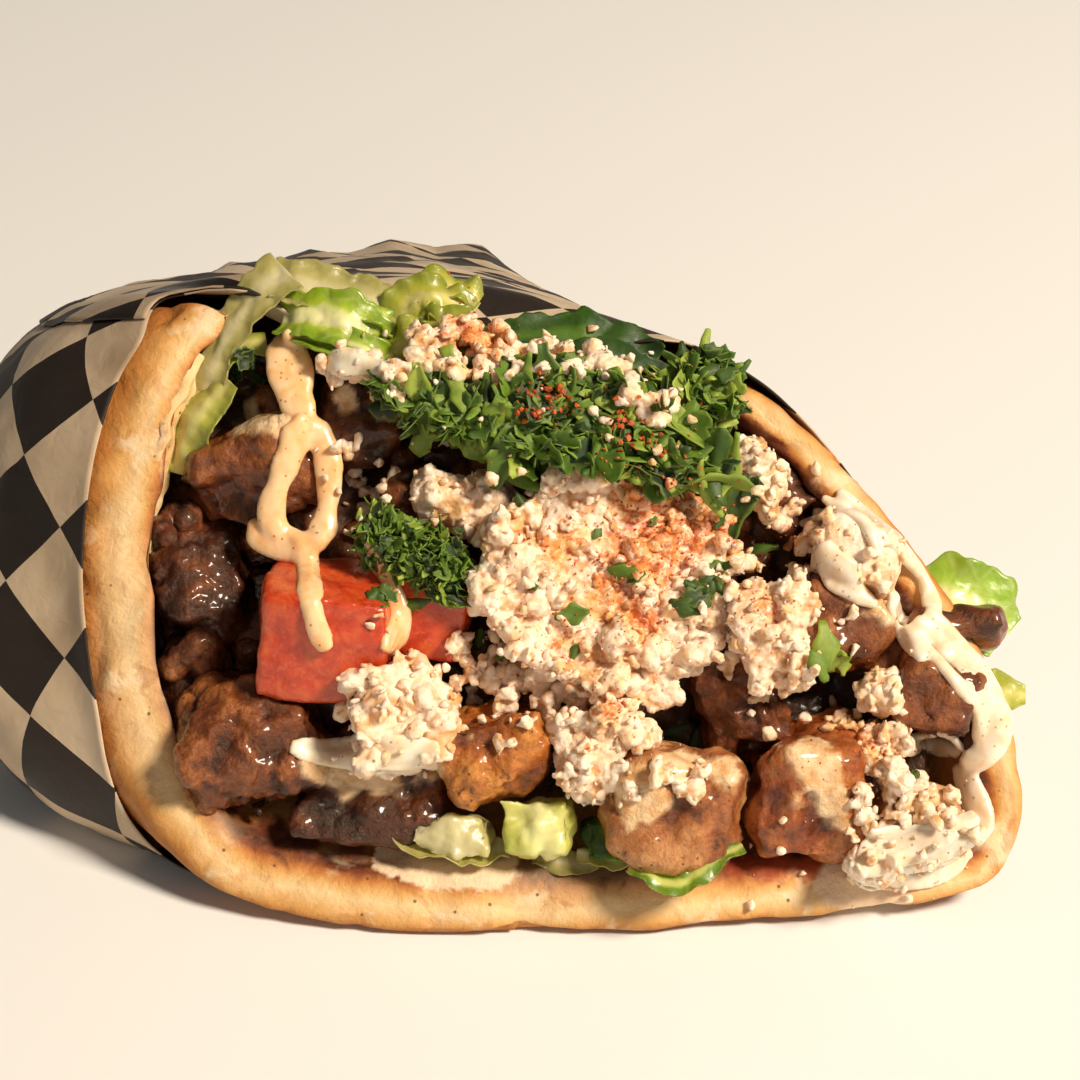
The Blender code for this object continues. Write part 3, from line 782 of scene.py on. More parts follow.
def make_paper():
    """A sleeve of check paper: a collar behind the seam, slack folds, and a tucked end."""
    shares = np.linspace(PAPER_SEAM, PAPER_SEAM + 1 + PAPER_OVERLAP, PAPER_COLUMNS)
    start = PAPER_BACKSET + (COLLAR_REACH - PAPER_BACKSET) * collar_share(shares)
    leftmost = smoothstep(0.0, 0.03, shares % 1.0) * (1 - smoothstep(0.16, 0.24, shares % 1.0))
    start = start - LEFT_FORWARD * leftmost + 0.005 * np.sin(shares * TURN * 5)
    under = PAPER_SHEET * 2 * (1 - smoothstep(0, PAPER_OVERLAP, PAPER_SEAM + 1 - shares))
    rows = []
    for reach in np.linspace(0, 1, PAPER_ROWS):
        depth = start + (1 - start) * reach
        point, _ = bread_frame(shares, depth)
        normal = body_normal(shares, np.maximum(depth, 0.03))
        # Noise repeats after one turn, so the two layers of the overlap crease alike.
        turn, radius = shares * TURN, RIM_LENGTH / TURN
        flat = np.stack([radius * np.cos(turn), depth * 150, radius * np.sin(turn)], -1)
        loose = 0.35 + 0.65 * smoothstep(0.06, 0.25, depth) - 0.35 * smoothstep(0.5, 0.8, depth)
        crumple = BROAD_CRUMPLE * ridged(flat, 26, 2, 31) + FINE_CRUMPLE * ridged(flat, 9, 2, 33)
        pleat = abs((shares * PLEATS + 0.6 * noise(flat, 40, 35)) % 1.0 - 0.5) * 2
        pleats = PLEAT_DEPTH * pleat * smoothstep(0.66, 1.0, depth)
        clear = PAPER_GAP + under + paper_slack(shares, depth) + loose * crumple + pleats
        clear = clear - paper_lip(shares, depth)
        clear = clear - 0.85 * loose * crumple * collar_share(shares) * (1
            - smoothstep(0.25, 0.6, depth))
        rows.append(point + normal * clear[:, None])
    tail = rows[-1]
    centre = tail[:, :].mean(axis=0)
    for scale in (0.97, 0.9, 0.8, 0.68, 0.55, 0.42, 0.3, 0.18, 0.07):
        tuck = np.array((-math.sin(BODY_SKEW), math.cos(BODY_SKEW), 0.0)) * (3.0 * (1 - scale**2))
        pleat = abs(shares * PLEATS % 1.0 - 0.5) * 2 * TAIL_PLEAT_DEPTH * scale
        rows.append(centre + (tail - centre) * scale + tuck * (1 + 0.3 * pleat[:, None]))
    grid = np.stack(rows)
    grid[..., 2] = np.maximum(grid[..., 2], PAPER_SHEET / 2)
    points, faces = thin_sheet(grid, np.full(grid.shape[:2], PAPER_SHEET))
    points[:, 2] = np.maximum(points[:, 2], 0.0)

    steps = np.linalg.norm(np.diff(grid, axis=0), axis=-1)
    along = np.concatenate([np.zeros((1, len(shares))), np.cumsum(steps, axis=0)])
    along += (start * 120)[None, :]
    tail_around = np.linalg.norm(np.diff(tail, axis=0), axis=-1).sum()
    cone = along[PAPER_ROWS].mean() * RIM_LENGTH / (RIM_LENGTH - tail_around)
    turned = ((shares - 1 - FLANK_SHARE + 0.5) % 1.03 - 0.5) * RIM_LENGTH / cone
    u = (cone - along) * np.sin(turned)
    v = (cone - along) * np.cos(turned)
    obj = make_object("paper_sleeve", points, faces, paper_paint(), ["paper_wrap"])
    mesh = obj.data
    corners = np.empty(len(mesh.loops), np.int32)
    mesh.loops.foreach_get("vertex_index", corners)
    uv = np.stack([u.ravel(), v.ravel()], -1)
    uv = np.concatenate([uv, uv])[corners]
    mesh.uv_layers.new(name="sheet").data.foreach_set("uv", uv.astype(np.float32).ravel())


# ---------------------------------------------------------------- meat and core

# Cream has run over the meat round these places: (across, up, reach).
CREAM_SPOTS = [
    (12.5, -26.0, 4.2), (13.5, -30.0, 3.4), (19.0, -23.5, 3.2), (24.5, -24.5, 2.6),
    (36.5, -23.0, 3.4),
    (38.5, -27.0, 3.0), (40.5, -31.0, 2.8), (49.0, -31.0, 3.6), (54.0, -29.5, 3.4),
    (56.5, -34.0, 3.0),
    (-44.0, 26.0, 3.6), (-38.5, 24.5, 2.4), (-25.0, -23.5, 4.6), (-32.0, -24.0, 3.0),
    (-16.5, -24.0, 3.0),
    (43.0, 2.0, 3.2), (47.5, -1.5, 2.4), (-22.0, 27.5, 3.0), (-29.5, 29.0, 2.4),
]


def cream_at(points):
    ragged = 0.6 * fractal(points, 3.0, 4, 57)
    return smoothstep(0.44, 0.74, spotted(points, CREAM_SPOTS) + ragged)


def meat_paint(name, dark, middle, light, shift=0.0, wet=0.6, size=5.0):
    """Seared meat: dark crust in patches and on its corners, wet with juice, with painted shade in
    its hollows and painted light on its high spots.
    """
    paint = Paint(name, roughness=0.4)
    # Painted light and shade: the colour goes darker down in the hollows of the relief and lighter
    # on its high spots.
    relief_light_and_shade = paint.math("MULTIPLY", paint.math("SUBTRACT", paint.attribute("relief"), 0.5), 0.30)
    seared = paint.math("MULTIPLY", paint.attribute("corner"), -0.26)
    patches = paint.math("ADD", paint.math("ADD", paint.noise(size, 5, 0.5, 0.6), shift), relief_light_and_shade)
    patches = paint.math("ADD", patches, seared)
    colour = paint.ramp(patches, [(0.30, dark), (0.49, middle), (0.70, light)])
    fibre = paint.node("Mapping", {"Vector": paint.place,
        "Scale": (1.0, 0.35, 0.6)}).outputs["Vector"]
    fine = paint.between(paint.noise(0.8, 4, 0.4, 0.6, place=fibre), 0.38, 0.62)
    colour = paint.mix(paint.math("MULTIPLY", fine, 0.42), colour,
        tuple((d + m) / 2 for d, m in zip(dark, middle)))
    char = paint.between(paint.math("ADD", paint.noise(2.6, 5, 0.9, 0.6),
                                    paint.math("MULTIPLY", paint.attribute("corner"), 0.2)), 0.60,
                                    0.72)
    colour = paint.mix(paint.math("MULTIPLY", char, 0.8), colour, srgb(34, 14, 6))
    pepper = paint.math("SUBTRACT", 1.0, paint.between(paint.cells(1.9), 0.08, 0.15))
    colour = paint.mix(paint.math("MULTIPLY", pepper, 0.7), colour, srgb(36, 18, 10))
    cream = paint.attribute("cream")
    creamy = paint.ramp(paint.noise(2.4, 4),
        [(0.35, srgb(222, 170, 112)), (0.6, srgb(248, 218, 174))])
    colour = paint.mix(paint.math("MULTIPLY", cream, 0.9), colour, creamy)
    paint.set(Base_Color=colour, Coat_Weight=0.6 * wet, Coat_Roughness=0.15, Coat_IOR=1.4)
    paint.set(Subsurface_Weight=0.08, Subsurface_Scale=0.002, Specular_Tint=(1.0, 0.82, 0.64, 1.0))
    paint.bump(paint.noise(0.55, 5, 0.0, 0.65), 0.34, 0.8)
    paint.bump(paint.noise(1.6, 4, 0.6), 0.55, 0.6)
    return paint.material


def meat_relief(coarse, seed=0):
    """Torn, seared flesh: uneven facets, creases along its fibres and a grainy crust."""
    turn = spun(np.random.default_rng(seed))

    def height(points, normals):
        facets = 1.9 * fractal(points, 7.0, 2, 41)
        fibres = points @ turn * (1.0, 0.45, 0.75) + 2.4 * noise(points, 6.0, 47)[:, None]
        creases = -1.1 * np.clip(0.22 - ridged(fibres, 5.5, 3, 43), 0, 1) / 0.22
        distance, number = grains(points, 1.15, 45)
        lumps = coarse * 0.34 * (0.9 * number - distance)
        knots = (0.25 + 0.75 * coarse) * 0.62 * fractal(points, 2.6, 3, 46)
        cream = cream_at(points)
        skin = 0.5 * facets + (0.4 + 0.6 * coarse) * creases + lumps + knots
        return 0.5 + 0.5 * facets + skin * (1 - 0.65 * cream) + 0.45 * cream
    return height


def meat_mesh(rough, voxel, coarse, seed=0):
    """A seared skin over a rough solid. Corner is 1 on its sharpest outer edges."""
    mesh = remeshed(rough, voxel, 5)
    rounder = remeshed(rough, voxel, 45)
    lost = ((vertex_array(mesh) - vertex_array(rounder)) * normal_array(mesh)).sum(axis=1)
    displaced(mesh, meat_relief(coarse, seed))
    set_attribute(mesh, "corner", smoothstep(0.2, 1.1, lost))
    set_attribute(mesh, "cream", cream_at(vertex_array(mesh)))
    return mesh


def make_meat():
    charred = meat_paint("meat_charred_crust", srgb(28, 10, 4), srgb(76, 32, 12), srgb(138, 72, 32),
        -0.02, 1.2)
    browned = meat_paint("meat_browned", srgb(46, 17, 5), srgb(114, 55, 22), srgb(176, 106, 54),
        0.01, 1.1)
    golden = meat_paint("meat_golden_seared", srgb(88, 36, 10), srgb(168, 90, 30),
        srgb(214, 142, 66), 0.02, 0.9)
    glazed = meat_paint("meat_glazed_pale", srgb(84, 26, 8), srgb(156, 76, 28), srgb(210, 138, 74),
        0.0, 1.2)
    pale = meat_paint("meat_pale_cut", srgb(88, 36, 12), srgb(166, 98, 50), srgb(212, 154, 98),
        0.02, 1.1)
    kinds = {
        "meat_top_left": (browned, 0.7), "meat_under_sauce": (charred, 0.7),
        "meat_charred": (charred, 1.0), "meat_deep_left": (charred, 0.7),
        "meat_behind_tomato": (charred, 0.6), "meat_front_left": (browned, 1.0),
        # meat_low_shaded lies in shade low in the mouth; the charred crust it takes is partly
        # painted shade.
        "meat_low_shaded": (charred, 0.7), "meat_golden": (golden, 1.0),
        "meat_creamed": (pale, 0.45), "meat_inner": (browned, 0.7),
        "meat_glazed": (glazed, 0.45), "meat_right_high": (browned, 0.4),
        "meat_right_edge": (browned, 0.7), "meat_strip": (browned, 0.0),
        "meat_far_rim": (charred, 0.8), "meat_right_low": (pale, 0.4),
        "meat_sliver": (browned, 0.5), "meat_centre": (charred, 0.8),
    }
    for node, (material, coarse) in kinds.items():
        mesh = meat_mesh(node_mesh(node), 0.48, coarse, len(node))
        adopt(node + "_chunk", mesh, material, [node])


def make_core():
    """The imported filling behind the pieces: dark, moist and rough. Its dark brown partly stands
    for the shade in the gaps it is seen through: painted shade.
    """
    paint = meat_paint("packed_filling", srgb(26, 12, 6), srgb(66, 34, 18), srgb(112, 66, 36),
        -0.03, 0.5)

    def height(points, normals):
        distance, number = grains(points, 6.0, 51)
        return 1.6 * (number - distance) + 0.8 * fractal(points, 4, 2, 53)

    mesh = displaced(remeshed(node_mesh("filling"), 1.3, 2), height)
    adopt("filling_core", mesh, paint, ["filling"])


# ---------------------------------------------------------------- tomato

def make_tomato():
    paint = Paint("tomato_flesh", roughness=0.26)
    colour = paint.ramp(paint.noise(3.4, 5, 0.5, 0.6), [
        (0.3, srgb(164, 40, 12)), (0.52, srgb(198, 68, 30)), (0.74, srgb(212, 104, 52))])
    # Painted highlight: the dice are lighter along their sharp edges, where the edges catch the
    # light.
    corner = paint.math("ADD", paint.attribute("corner"),
        paint.math("SUBTRACT", paint.noise(2.0, 3), 0.5))
    colour = paint.mix(paint.math("MULTIPLY", paint.between(corner, 0.3, 0.9), 0.6), colour,
        srgb(222, 128, 92))
    fibres = paint.between(paint.noise(0.9, 4, 0.5), 0.56, 0.68)
    colour = paint.mix(paint.math("MULTIPLY", fibres, 0.3), colour, srgb(216, 116, 78))
    paint.set(Base_Color=colour, Subsurface_Weight=0.15, Subsurface_Scale=0.003)
    paint.set(Subsurface_Radius=(1.0, 0.4, 0.2), Coat_Weight=0.3, Coat_Roughness=0.16)
    paint.bump(paint.noise(0.8, 4), 0.22, 0.6)
    for node in ("tomato_front", "tomato_rear"):
        mesh = remeshed(node_mesh(node), 0.5, 3)
        rounder = remeshed(node_mesh(node), 0.5, 22)
        lost = ((vertex_array(mesh) - vertex_array(rounder)) * normal_array(mesh)).sum(axis=1)
        displaced(mesh, lambda points, normals: 0.2 + 0.5 * fractal(points, 6, 3, 61))
        set_attribute(mesh, "corner", smoothstep(0.05, 0.5, lost))
        adopt(node + "_dice", mesh, paint.material, [node])


# ---------------------------------------------------------------- cheese

# Paprika dusts the cheese round these places: (across, up, reach).
PAPRIKA_SPOTS = [
    (1, 7, 4), (8, 1, 3.5), (14, 14, 5), (11, 8, 4), (16, 5, 4.5), (13, -4, 4), (2, -7, 3),
    (34, 9, 4), (8, -16, 3), (43, -20, 5), (30, -2, 3), (20, 12, 4), (-11, 37, 6), (24, 10, 4),
]


GRAIN_SHARE = 0.74


def paprika_at(points):
    return np.clip(spotted(points, PAPRIKA_SPOTS), 0, 1)


def cheese_paint(name, cream, shade, spice=1.0):
    paint = Paint(name, roughness=0.55)
    colour = paint.ramp(paint.noise(2.6, 4), [(0.3, shade), (0.55, cream)])
    # Painted shade: a warm, darker colour down in the hollows between the grains, where the relief
    # is low.
    crevice_shade = paint.math("SUBTRACT", 1.0, paint.between(paint.attribute("relief"), 0.05, 0.5))
    colour = paint.mix(paint.math("MULTIPLY", crevice_shade, 0.8), colour, srgb(212, 150, 82))
    wash = paint.math("ADD", paint.noise(4.2, 4, 0.5),
        paint.math("MULTIPLY", paint.attribute("paprika"), 0.16))
    wash = paint.math("MULTIPLY", paint.between(wash, 0.54, 0.70), 0.6)
    colour = paint.mix(wash, colour, srgb(238, 188, 118))
    dust = paint.math("ADD", paint.attribute("paprika"),
        paint.math("MULTIPLY", paint.noise(1.3, 6, 0.5, 0.65), 4.4))
    dust = paint.between(dust, 2.75, 3.35)
    orange = paint.ramp(paint.noise(1.1, 3), [(0.35, srgb(204, 80, 12)), (0.6, srgb(242, 142, 42))])
    colour = paint.mix(paint.math("MULTIPLY", dust, 0.8 * spice), colour, orange)
    specks = paint.math("SUBTRACT", 1.0, paint.between(paint.cells(2.6), 0.07, 0.12))
    speck = paint.math("MULTIPLY", specks, paint.between(paint.noise(9, 2), 0.42, 0.6))
    colour = paint.mix(paint.math("MULTIPLY", speck, 0.8), colour, srgb(120, 70, 30))
    paint.set(Base_Color=colour, Subsurface_Weight=0.3, Subsurface_Scale=0.0025)
    paint.set(Subsurface_Radius=(1.0, 0.75, 0.5))
    paint.bump(paint.noise(0.6, 4), 0.3, 0.5)
    paint.bump(paint.cells(0.9), 0.35, 0.5)
    return paint.material


def cheese_relief(size, depth, soft=0.0):
    def height(points, normals):
        distance, number = grains(points, size * GRAIN_SHARE, 71)
        small_distance, small_number = grains(points, size * GRAIN_SHARE * 0.5, 75)
        packed = 0.7 * depth * (0.8 * number + 0.45 - distance)
        fine = 0.32 * depth * (0.5 + 0.4 * small_number - small_distance)
        broken = 0.5 * depth * fractal(points, 3.2, 3, 78)
        return (1 - soft) * (packed + fine + broken) + 0.5 * fractal(points, 7, 2, 77)
    return height


def clumped(node, sunk, count, sizes, seed):
    """A node's solid, shrunk, with uneven clumps over it that make up its shape."""
    rng = np.random.default_rng(seed)
    mesh = displaced(remeshed(node_mesh(node), 0.8, 4), lambda points,
        normals: -sunk + 0 * points[:, 0])
    mesh.calc_loop_triangles()
    corners = np.empty(len(mesh.loop_triangles) * 3, np.int32)
    mesh.loop_triangles.foreach_get("vertices", corners)
    points, triangles = vertex_array(mesh), corners.reshape(-1, 3)
    parts = [(points, [tuple(t) for t in triangles.tolist()])]
    for place in points[rng.choice(len(points), count)]:
        parts.append(crumb(place, rng.uniform(*sizes), rng))
    points, faces = joined(parts)
    whole = bpy.data.meshes.new(node + "_clumps")
    whole.from_pydata((points * MM).tolist(), [], faces)
    return whole


def make_cheese():
    feta = cheese_paint("feta_crumbled", srgb(255, 230, 206), srgb(238, 198, 154))
    cream = cheese_paint("feta_creamy", srgb(250, 230, 210), srgb(238, 204, 168), 0.4)
    orange = cheese_paint("feta_in_sauce", srgb(240, 204, 148), srgb(228, 172, 102))
    # material, grain size, relief, softness, how far sunk, clumps and their sizes
    kinds = {
        "feta_front": (feta, 1.9, 0.8, 0.25, 1.4, 34, (3.5, 8)),
        "feta_mid_low": (feta, 1.8, 0.9, 0.1, 1.6, 34, (3, 7)),
        "feta_right_slab": (feta, 1.7, 0.8, 0.2, 1.0, 22, (3, 6)),
        "feta_creamy_right": (cream, 2.6, 0.5, 0.8, 0.2, 3, (3, 5)),
        "feta_right_nub": (feta, 1.6, 0.8, 0.0, 1.0, 12, (2.5, 4)),
        "feta_right_low": (feta, 1.6, 0.8, 0.0, 1.3, 20, (2.5, 5)),
        "feta_on_rim": (cream, 2.2, 0.5, 0.5, 0.8, 10, (2.5, 5)),
        "feta_top_left": (cream, 2.4, 0.6, 0.3, 1.0, 16, (2.5, 5)),
        "feta_left_mid": (feta, 1.8, 0.9, 0.0, 1.5, 26, (2.5, 6)),
        "feta_white_top": (cream, 2.8, 0.5, 0.5, 0.6, 5, (3, 5)),
        "feta_far": (feta, 2.0, 0.8, 0.3, 1.0, 14, (3, 5.5)),
        "feta_orange_top": (orange, 2.6, 0.5, 0.5, 0.5, 6, (3, 5)),
        "feta_back_bits": (feta, 1.8, 0.9, 0.0, 1.2, 12, (2.5, 5)),
        "feta_heap": (feta, 1.9, 1.0, 0.0, 3.2, 150, (3.5, 9)),
    }
    for node, (material, size, depth, soft, sunk, count, sizes) in kinds.items():
        mesh = remeshed(clumped(node, sunk, count, sizes, len(node)), 0.40, 1)
        displaced(mesh, cheese_relief(size, depth, soft))
        set_attribute(mesh, "paprika", paprika_at(vertex_array(mesh)))
        adopt(node + "_crumbly", mesh, material, [node])
    return feta


# ---------------------------------------------------------------- leaves

def leaf_grid(spine, widths, lean, cup=0.0, ruffle=0.0, waves=5.0, rows=60, columns=22, seed=0):
    """A grid of points for a leaf along a spine given in the mouth's frame.

    Lean 0 is a leaf that stands edge on to the mouth, and at 90 it faces out of the mouth.
    """
    centre = spline(mouth_point(*np.asarray(spine, float).T), rows)
    ahead = np.gradient(centre, axis=0)
    ahead /= np.linalg.norm(ahead, axis=1, keepdims=True)
    sideways = np.cross(ahead, OUTWARD)
    sideways /= np.linalg.norm(sideways, axis=1, keepdims=True)
    lean = np.radians(lean)
    wide = OUTWARD * math.cos(lean) + sideways * math.sin(lean)
    normal = np.cross(ahead, wide)
    normal /= np.linalg.norm(normal, axis=1, keepdims=True)
    along = np.linspace(0, 1, rows)[:, None]
    w = np.linspace(-1, 1, columns)[None, :]
    half = spline(np.asarray(widths, float)[:, None], rows) / 2
    length = np.linalg.norm(np.diff(centre, axis=0), axis=1).sum()
    place = np.stack([along * length + 0 * w, w * half, 0 * w * along + seed * 3.7], -1)
    edge_place = place * (1.0, 0.25, 1.0)
    jag = 1 + 0.22 * noise(edge_place, 2.4, seed) + 0.10 * noise(edge_place, 0.9, seed + 3)
    swing = noise(edge_place, length / waves, seed + 5) + 0.5 * noise(edge_place,
        length / waves / 2.2, seed + 6)
    curl = ruffle * 1.6 * abs(w) ** 1.4 * swing
    lift = curl - cup * w**2 + 0.7 * noise(place, 3.5, seed + 1) + 0.3 * noise(place, 1.5, seed + 2)
    return centre[:, None] + wide[:, None] * (w * half * jag)[..., None] + normal[:,
        None] * lift[..., None]


def leaf_paint(name, pale, green, dark, clear=0.0, rib=0.35, gloss=0.3):
    """A leaf that is pale along its rib and green to its edges."""
    paint = Paint(name, roughness=0.6 - 0.7 * gloss)
    side = paint.attribute("side")
    wander = paint.math("MULTIPLY", paint.math("SUBTRACT", paint.noise(5, 4, 0.5), 0.5), 0.8)
    away = paint.math("ADD", side, wander)
    colour = paint.ramp(paint.between(away, 0.0, 1.0), [(0.0, pale), (rib, green), (1.0, dark)])
    veins = paint.math("SUBTRACT", 1.0, paint.between(paint.cells(4.2, "DISTANCE_TO_EDGE"), 0.0,
        0.12))
    colour = paint.mix(paint.math("MULTIPLY", veins, 0.14), colour, pale)
    paint.set(Base_Color=colour, Subsurface_Weight=0.4, Subsurface_Scale=0.004)
    paint.set(Subsurface_Radius=(0.8, 1.0, 0.3), Coat_Weight=gloss, Coat_Roughness=0.16)
    paint.set(Transmission_Weight=clear)
    paint.bump(paint.cells(4.2, "DISTANCE_TO_EDGE"), 0.35, 0.3)
    paint.bump(paint.noise(1.4, 4), 0.35, 0.5)
    return paint.material


def make_leaf(name, grids, material, thickness, nodes):
    """Thin leaves joined as one piece. Side is 0 on the rib and 1 at the edge."""
    parts, sides = [], []
    for grid in grids:
        w = abs(np.linspace(-1, 1, grid.shape[1]))[None, :]
        along = np.linspace(-1, 1, grid.shape[0])[:, None]
        taper = np.clip(1.15 - np.maximum(w, abs(along) ** 3), 0.25, 1.0)
        parts.append(thin_sheet(grid, thickness * taper))
        sides.append(np.tile(np.broadcast_to(w, grid.shape[:2]).ravel(), 2))
    points, faces = joined(parts)
    obj = make_object(name, points, faces, material, nodes)
    set_attribute(obj.data, "side", np.concatenate(sides))
    return obj


def make_lettuce():
    clear = leaf_paint("lettuce_translucent", srgb(220, 210, 158), srgb(194, 184, 116),
        srgb(166, 158, 86), 0.15)
    fresh = leaf_paint("lettuce_fresh", srgb(226, 230, 164), srgb(158, 190, 62), srgb(112, 154, 36))
    ruffled = leaf_paint("lettuce_ruffled", srgb(208, 202, 122), srgb(176, 176, 76),
        srgb(140, 150, 52))
    dark = leaf_paint("leaf_dark", srgb(78, 112, 30), srgb(44, 76, 16), srgb(26, 50, 10),
        gloss=0.05)
    chunky = leaf_paint("lettuce_heart", srgb(230, 228, 158), srgb(198, 198, 96),
        srgb(154, 164, 60), 0.1)
    bright = leaf_paint("lettuce_bright", srgb(234, 232, 166), srgb(164, 186, 46),
        srgb(118, 148, 26))
    frilly = leaf_paint("lettuce_frills", srgb(216, 208, 122), srgb(178, 178, 62),
        srgb(124, 136, 34))
    leaves = {
        "lettuce_rib": (clear, 0.9, [
            leaf_grid([(-50.6, 26, -2.5), (-49, 32, -1), (-46.6, 38, 0), (-42.6, 43.4, 1),
                (-38, 47.6, 1)],
                      (4.4, 5.0, 5.6, 6.6, 7.4), 66, 0.8, 0.4, 2, seed=81),
            leaf_grid([(-40, 46.0, -1), (-35, 45.4, 0), (-29, 43.8, 0), (-24, 42.6, 0),
                (-20, 40.5, 0)],
                      (7, 8.6, 8.4, 7.6, 5), 58, 1.6, 0.7, 3, seed=82),
        ]),
        "lettuce_ruffle": (frilly, 0.6, [
            leaf_grid([(-24, 36.4, 1), (-20.6, 41.5, 2), (-16, 43.4, 3), (-11, 41, 2)],
                (6, 8, 8, 5), 62, 0.6, 1.9, 7, seed=83),
            leaf_grid([(-24.4, 35, 3), (-19, 37.4, 4), (-14, 38.4, 4), (-10, 36.6, 3)],
                (5, 6.6, 6.4, 4), 70, 0.4, 1.9, 7, seed=84),
            leaf_grid([(-21, 43.6, 0), (-15.4, 45.4, 0), (-10.4, 43, 0)], (4, 6, 4), 50, 0.6, 1.5,
                5, seed=94),
        ]),
        "lettuce_block": (bright, 1.5, [
            leaf_grid([(-38.4, 40.4, 0), (-34.0, 40.2, 3.0), (-29.0, 38.8, 4.2),
                (-24.0, 36.4, 2.6)], (6, 8.6, 9, 6), 66, 1.8, 0.7, 3, seed=101),
            leaf_grid([(-36.8, 37.4, 2.0), (-32.4, 36.4, 4.6), (-27.6, 35.2, 4.8),
                (-24.0, 34.2, 3.0)], (3, 4.6, 4.6, 3), 58, 1.2, 0.6, 2, seed=102),
            leaf_grid([(-36.0, 42.6, -1.0), (-31.0, 42.6, 0.6), (-26.0, 40.8, 1.4),
                (-22.6, 38.4, 0)], (4, 6, 6, 4), 52, 1.0, 0.9, 4, seed=103),
        ]),
        "lettuce_left": (ruffled, 0.8, [
            leaf_grid([(-54, 18.4, -2), (-52, 24, 0), (-49.4, 28, 1), (-46, 31.4, 1)],
                (4, 7, 7.5, 4), 60, 0.6, 1.0, 3, seed=85),
            leaf_grid([(-51, 26, -3), (-49.5, 32, -2), (-46, 36, -2), (-41, 37.4, -2)],
                (4, 6, 6, 4), 55, 0.6, 0.8, 2, seed=86),
        ]),
        "lettuce_right": (fresh, 0.8, [
            leaf_grid([(52.5, 1.6, -6), (57, 1.2, -5), (61.6, -0.8, -5), (66.0, -4.6, -6)],
                (7, 12.5, 13.5, 8), 76, 1.2, 0.8, 2, seed=87),
        ]),
        "lettuce_tip": (ruffled, 0.8, [
            leaf_grid([(59, -12, -6), (63.6, -13, -5), (68.4, -13.4, -5)], (6, 7, 3), 66, 0.6, 0.8,
                2, seed=88),
        ]),
        "lettuce_rim": (leaf_paint("leaf_frilly", srgb(190, 196, 110), srgb(92, 128, 34),
            srgb(46, 82, 18)), 0.6, [
            leaf_grid([(11, -38, 6.5), (14.5, -39.8, 7.6), (18.5, -40, 8), (22, -37.6, 7),
                (27, -34.6, 5)],
                      (2, 3.6, 3.8, 4.2, 3), 52, 0.3, 0.9, 7, seed=89),
        ]),
        "dark_leaf_back": (dark, 0.6, [
            leaf_grid([(-8, 37.6, 0), (2, 38.2, 1), (9, 36.4, 2), (15, 33.4, 2)], (5, 8, 9, 5), 66,
                0.8, 0.9, 4, seed=90),
            leaf_grid([(0, 34.6, 3), (7, 34.4, 3.6), (13, 32, 3.6), (19, 30.4, 3)], (4, 6, 6, 4),
                70, 0.8, 0.9, 4, seed=95),
        ]),
    }
    for node, (material, thickness, grids) in leaves.items():
        make_leaf(node + "_leaf", grids, material, thickness, [node])
    make_leaf("lettuce_shreds_leaf", [
        leaf_grid([(-23, -33.4, -1), (-17, -35.4, 0), (-11, -36.0, 0), (-5.6, -36.0, -1)],
            (3, 6, 6, 3), 50, 0.8, 1.2, 4, seed=97),
        leaf_grid([(-19, -31.6, 0), (-14, -32.8, 1), (-9, -33.4, 1)], (3, 5, 3), 60, 0.6, 1.2, 3,
            seed=98),
        leaf_grid([(4, -35.6, -1), (8, -36.6, 0), (12.4, -37.4, 0)], (3, 4, 3), 50, 0.6, 1.0, 3,
            seed=99),
        leaf_grid([(-3, -36.6, -2), (2, -37.2, -1), (7, -37.4, -1)], (2, 4, 2), 60, 0.6, 0.9, 3,
            seed=100),
    ], clear, 0.6, [])

    def side_from(across, up, reach):
        """0 on the white rib through a place and 1 well away from it."""
        def side(points):
            a, u, _ = mouth_coords(points)
            away = np.hypot((a - across) + 0.3 * (u - up), (u - up) * 0.35)
            return np.clip(away / reach + 0.12 * noise(points, 2.4, 93), 0, 1)
        return side

    chunks = {
        "lettuce_chunk_low": (chunky, side_from(-1, -33, 9)),
        "lettuce_pale_low": (clear, side_from(-14, -33.6, 14)),
        "lettuce_dark_low": (dark, side_from(8, -33, 4)),
    }
    for node, (material, side) in chunks.items():
        mesh = displaced(
            remeshed(node_mesh(node), 0.45, 5),
            lambda points, normals: 0.2 + 1.5 * fractal(points, 5, 2, 91) + 0.6
            * fractal(points, 1.8, 3, 92)
            - 0.8 * np.clip(0.2 - ridged(points * (1, 0.4, 0.4), 4, 1, 96), 0, 1) / 0.2,
        )
        set_attribute(mesh, "side", side(vertex_array(mesh)))
        adopt(node + "_piece", mesh, material, [node])


# ---------------------------------------------------------------- scattering

class Ground:
    """The visible surface, read straight down onto the mouth from in front of it.

    Nothing lands on the paper.
    """

    def __init__(self, pieces):
        points, faces, start, holds = [], [], 0, []
        for piece in pieces:
            mesh = piece.data
            mesh.calc_loop_triangles()
            corners = np.empty(len(mesh.loop_triangles) * 3, np.int32)
            mesh.loop_triangles.foreach_get("vertices", corners)
            vertices = vertex_array(mesh)
            points.append(np.stack(mouth_coords(vertices), -1))
            faces.append(corners.reshape(-1, 3) + start)
            holds.append(np.full(len(faces[-1]), piece.name != "paper_sleeve"))
            start += len(vertices)
        self.holds = np.concatenate(holds)
        self.tree = BVHTree.FromPolygons(np.concatenate(points).tolist(),
            np.concatenate(faces).tolist())

    def drop(self, across, up, top=60.0):
        """(out, normal in the mouth's frame) of the surface there, or None."""
        hit, normal, face, _ = self.tree.ray_cast(Vector((across, up, top)), Vector((0, 0, -1)))
        return None if hit is None or not self.holds[face] else (hit.z, np.array(normal))


def to_world(points):
    """Points given in the mouth's frame, as places in the world."""
    return mouth_point(points[:, 0], points[:, 1], points[:, 2])


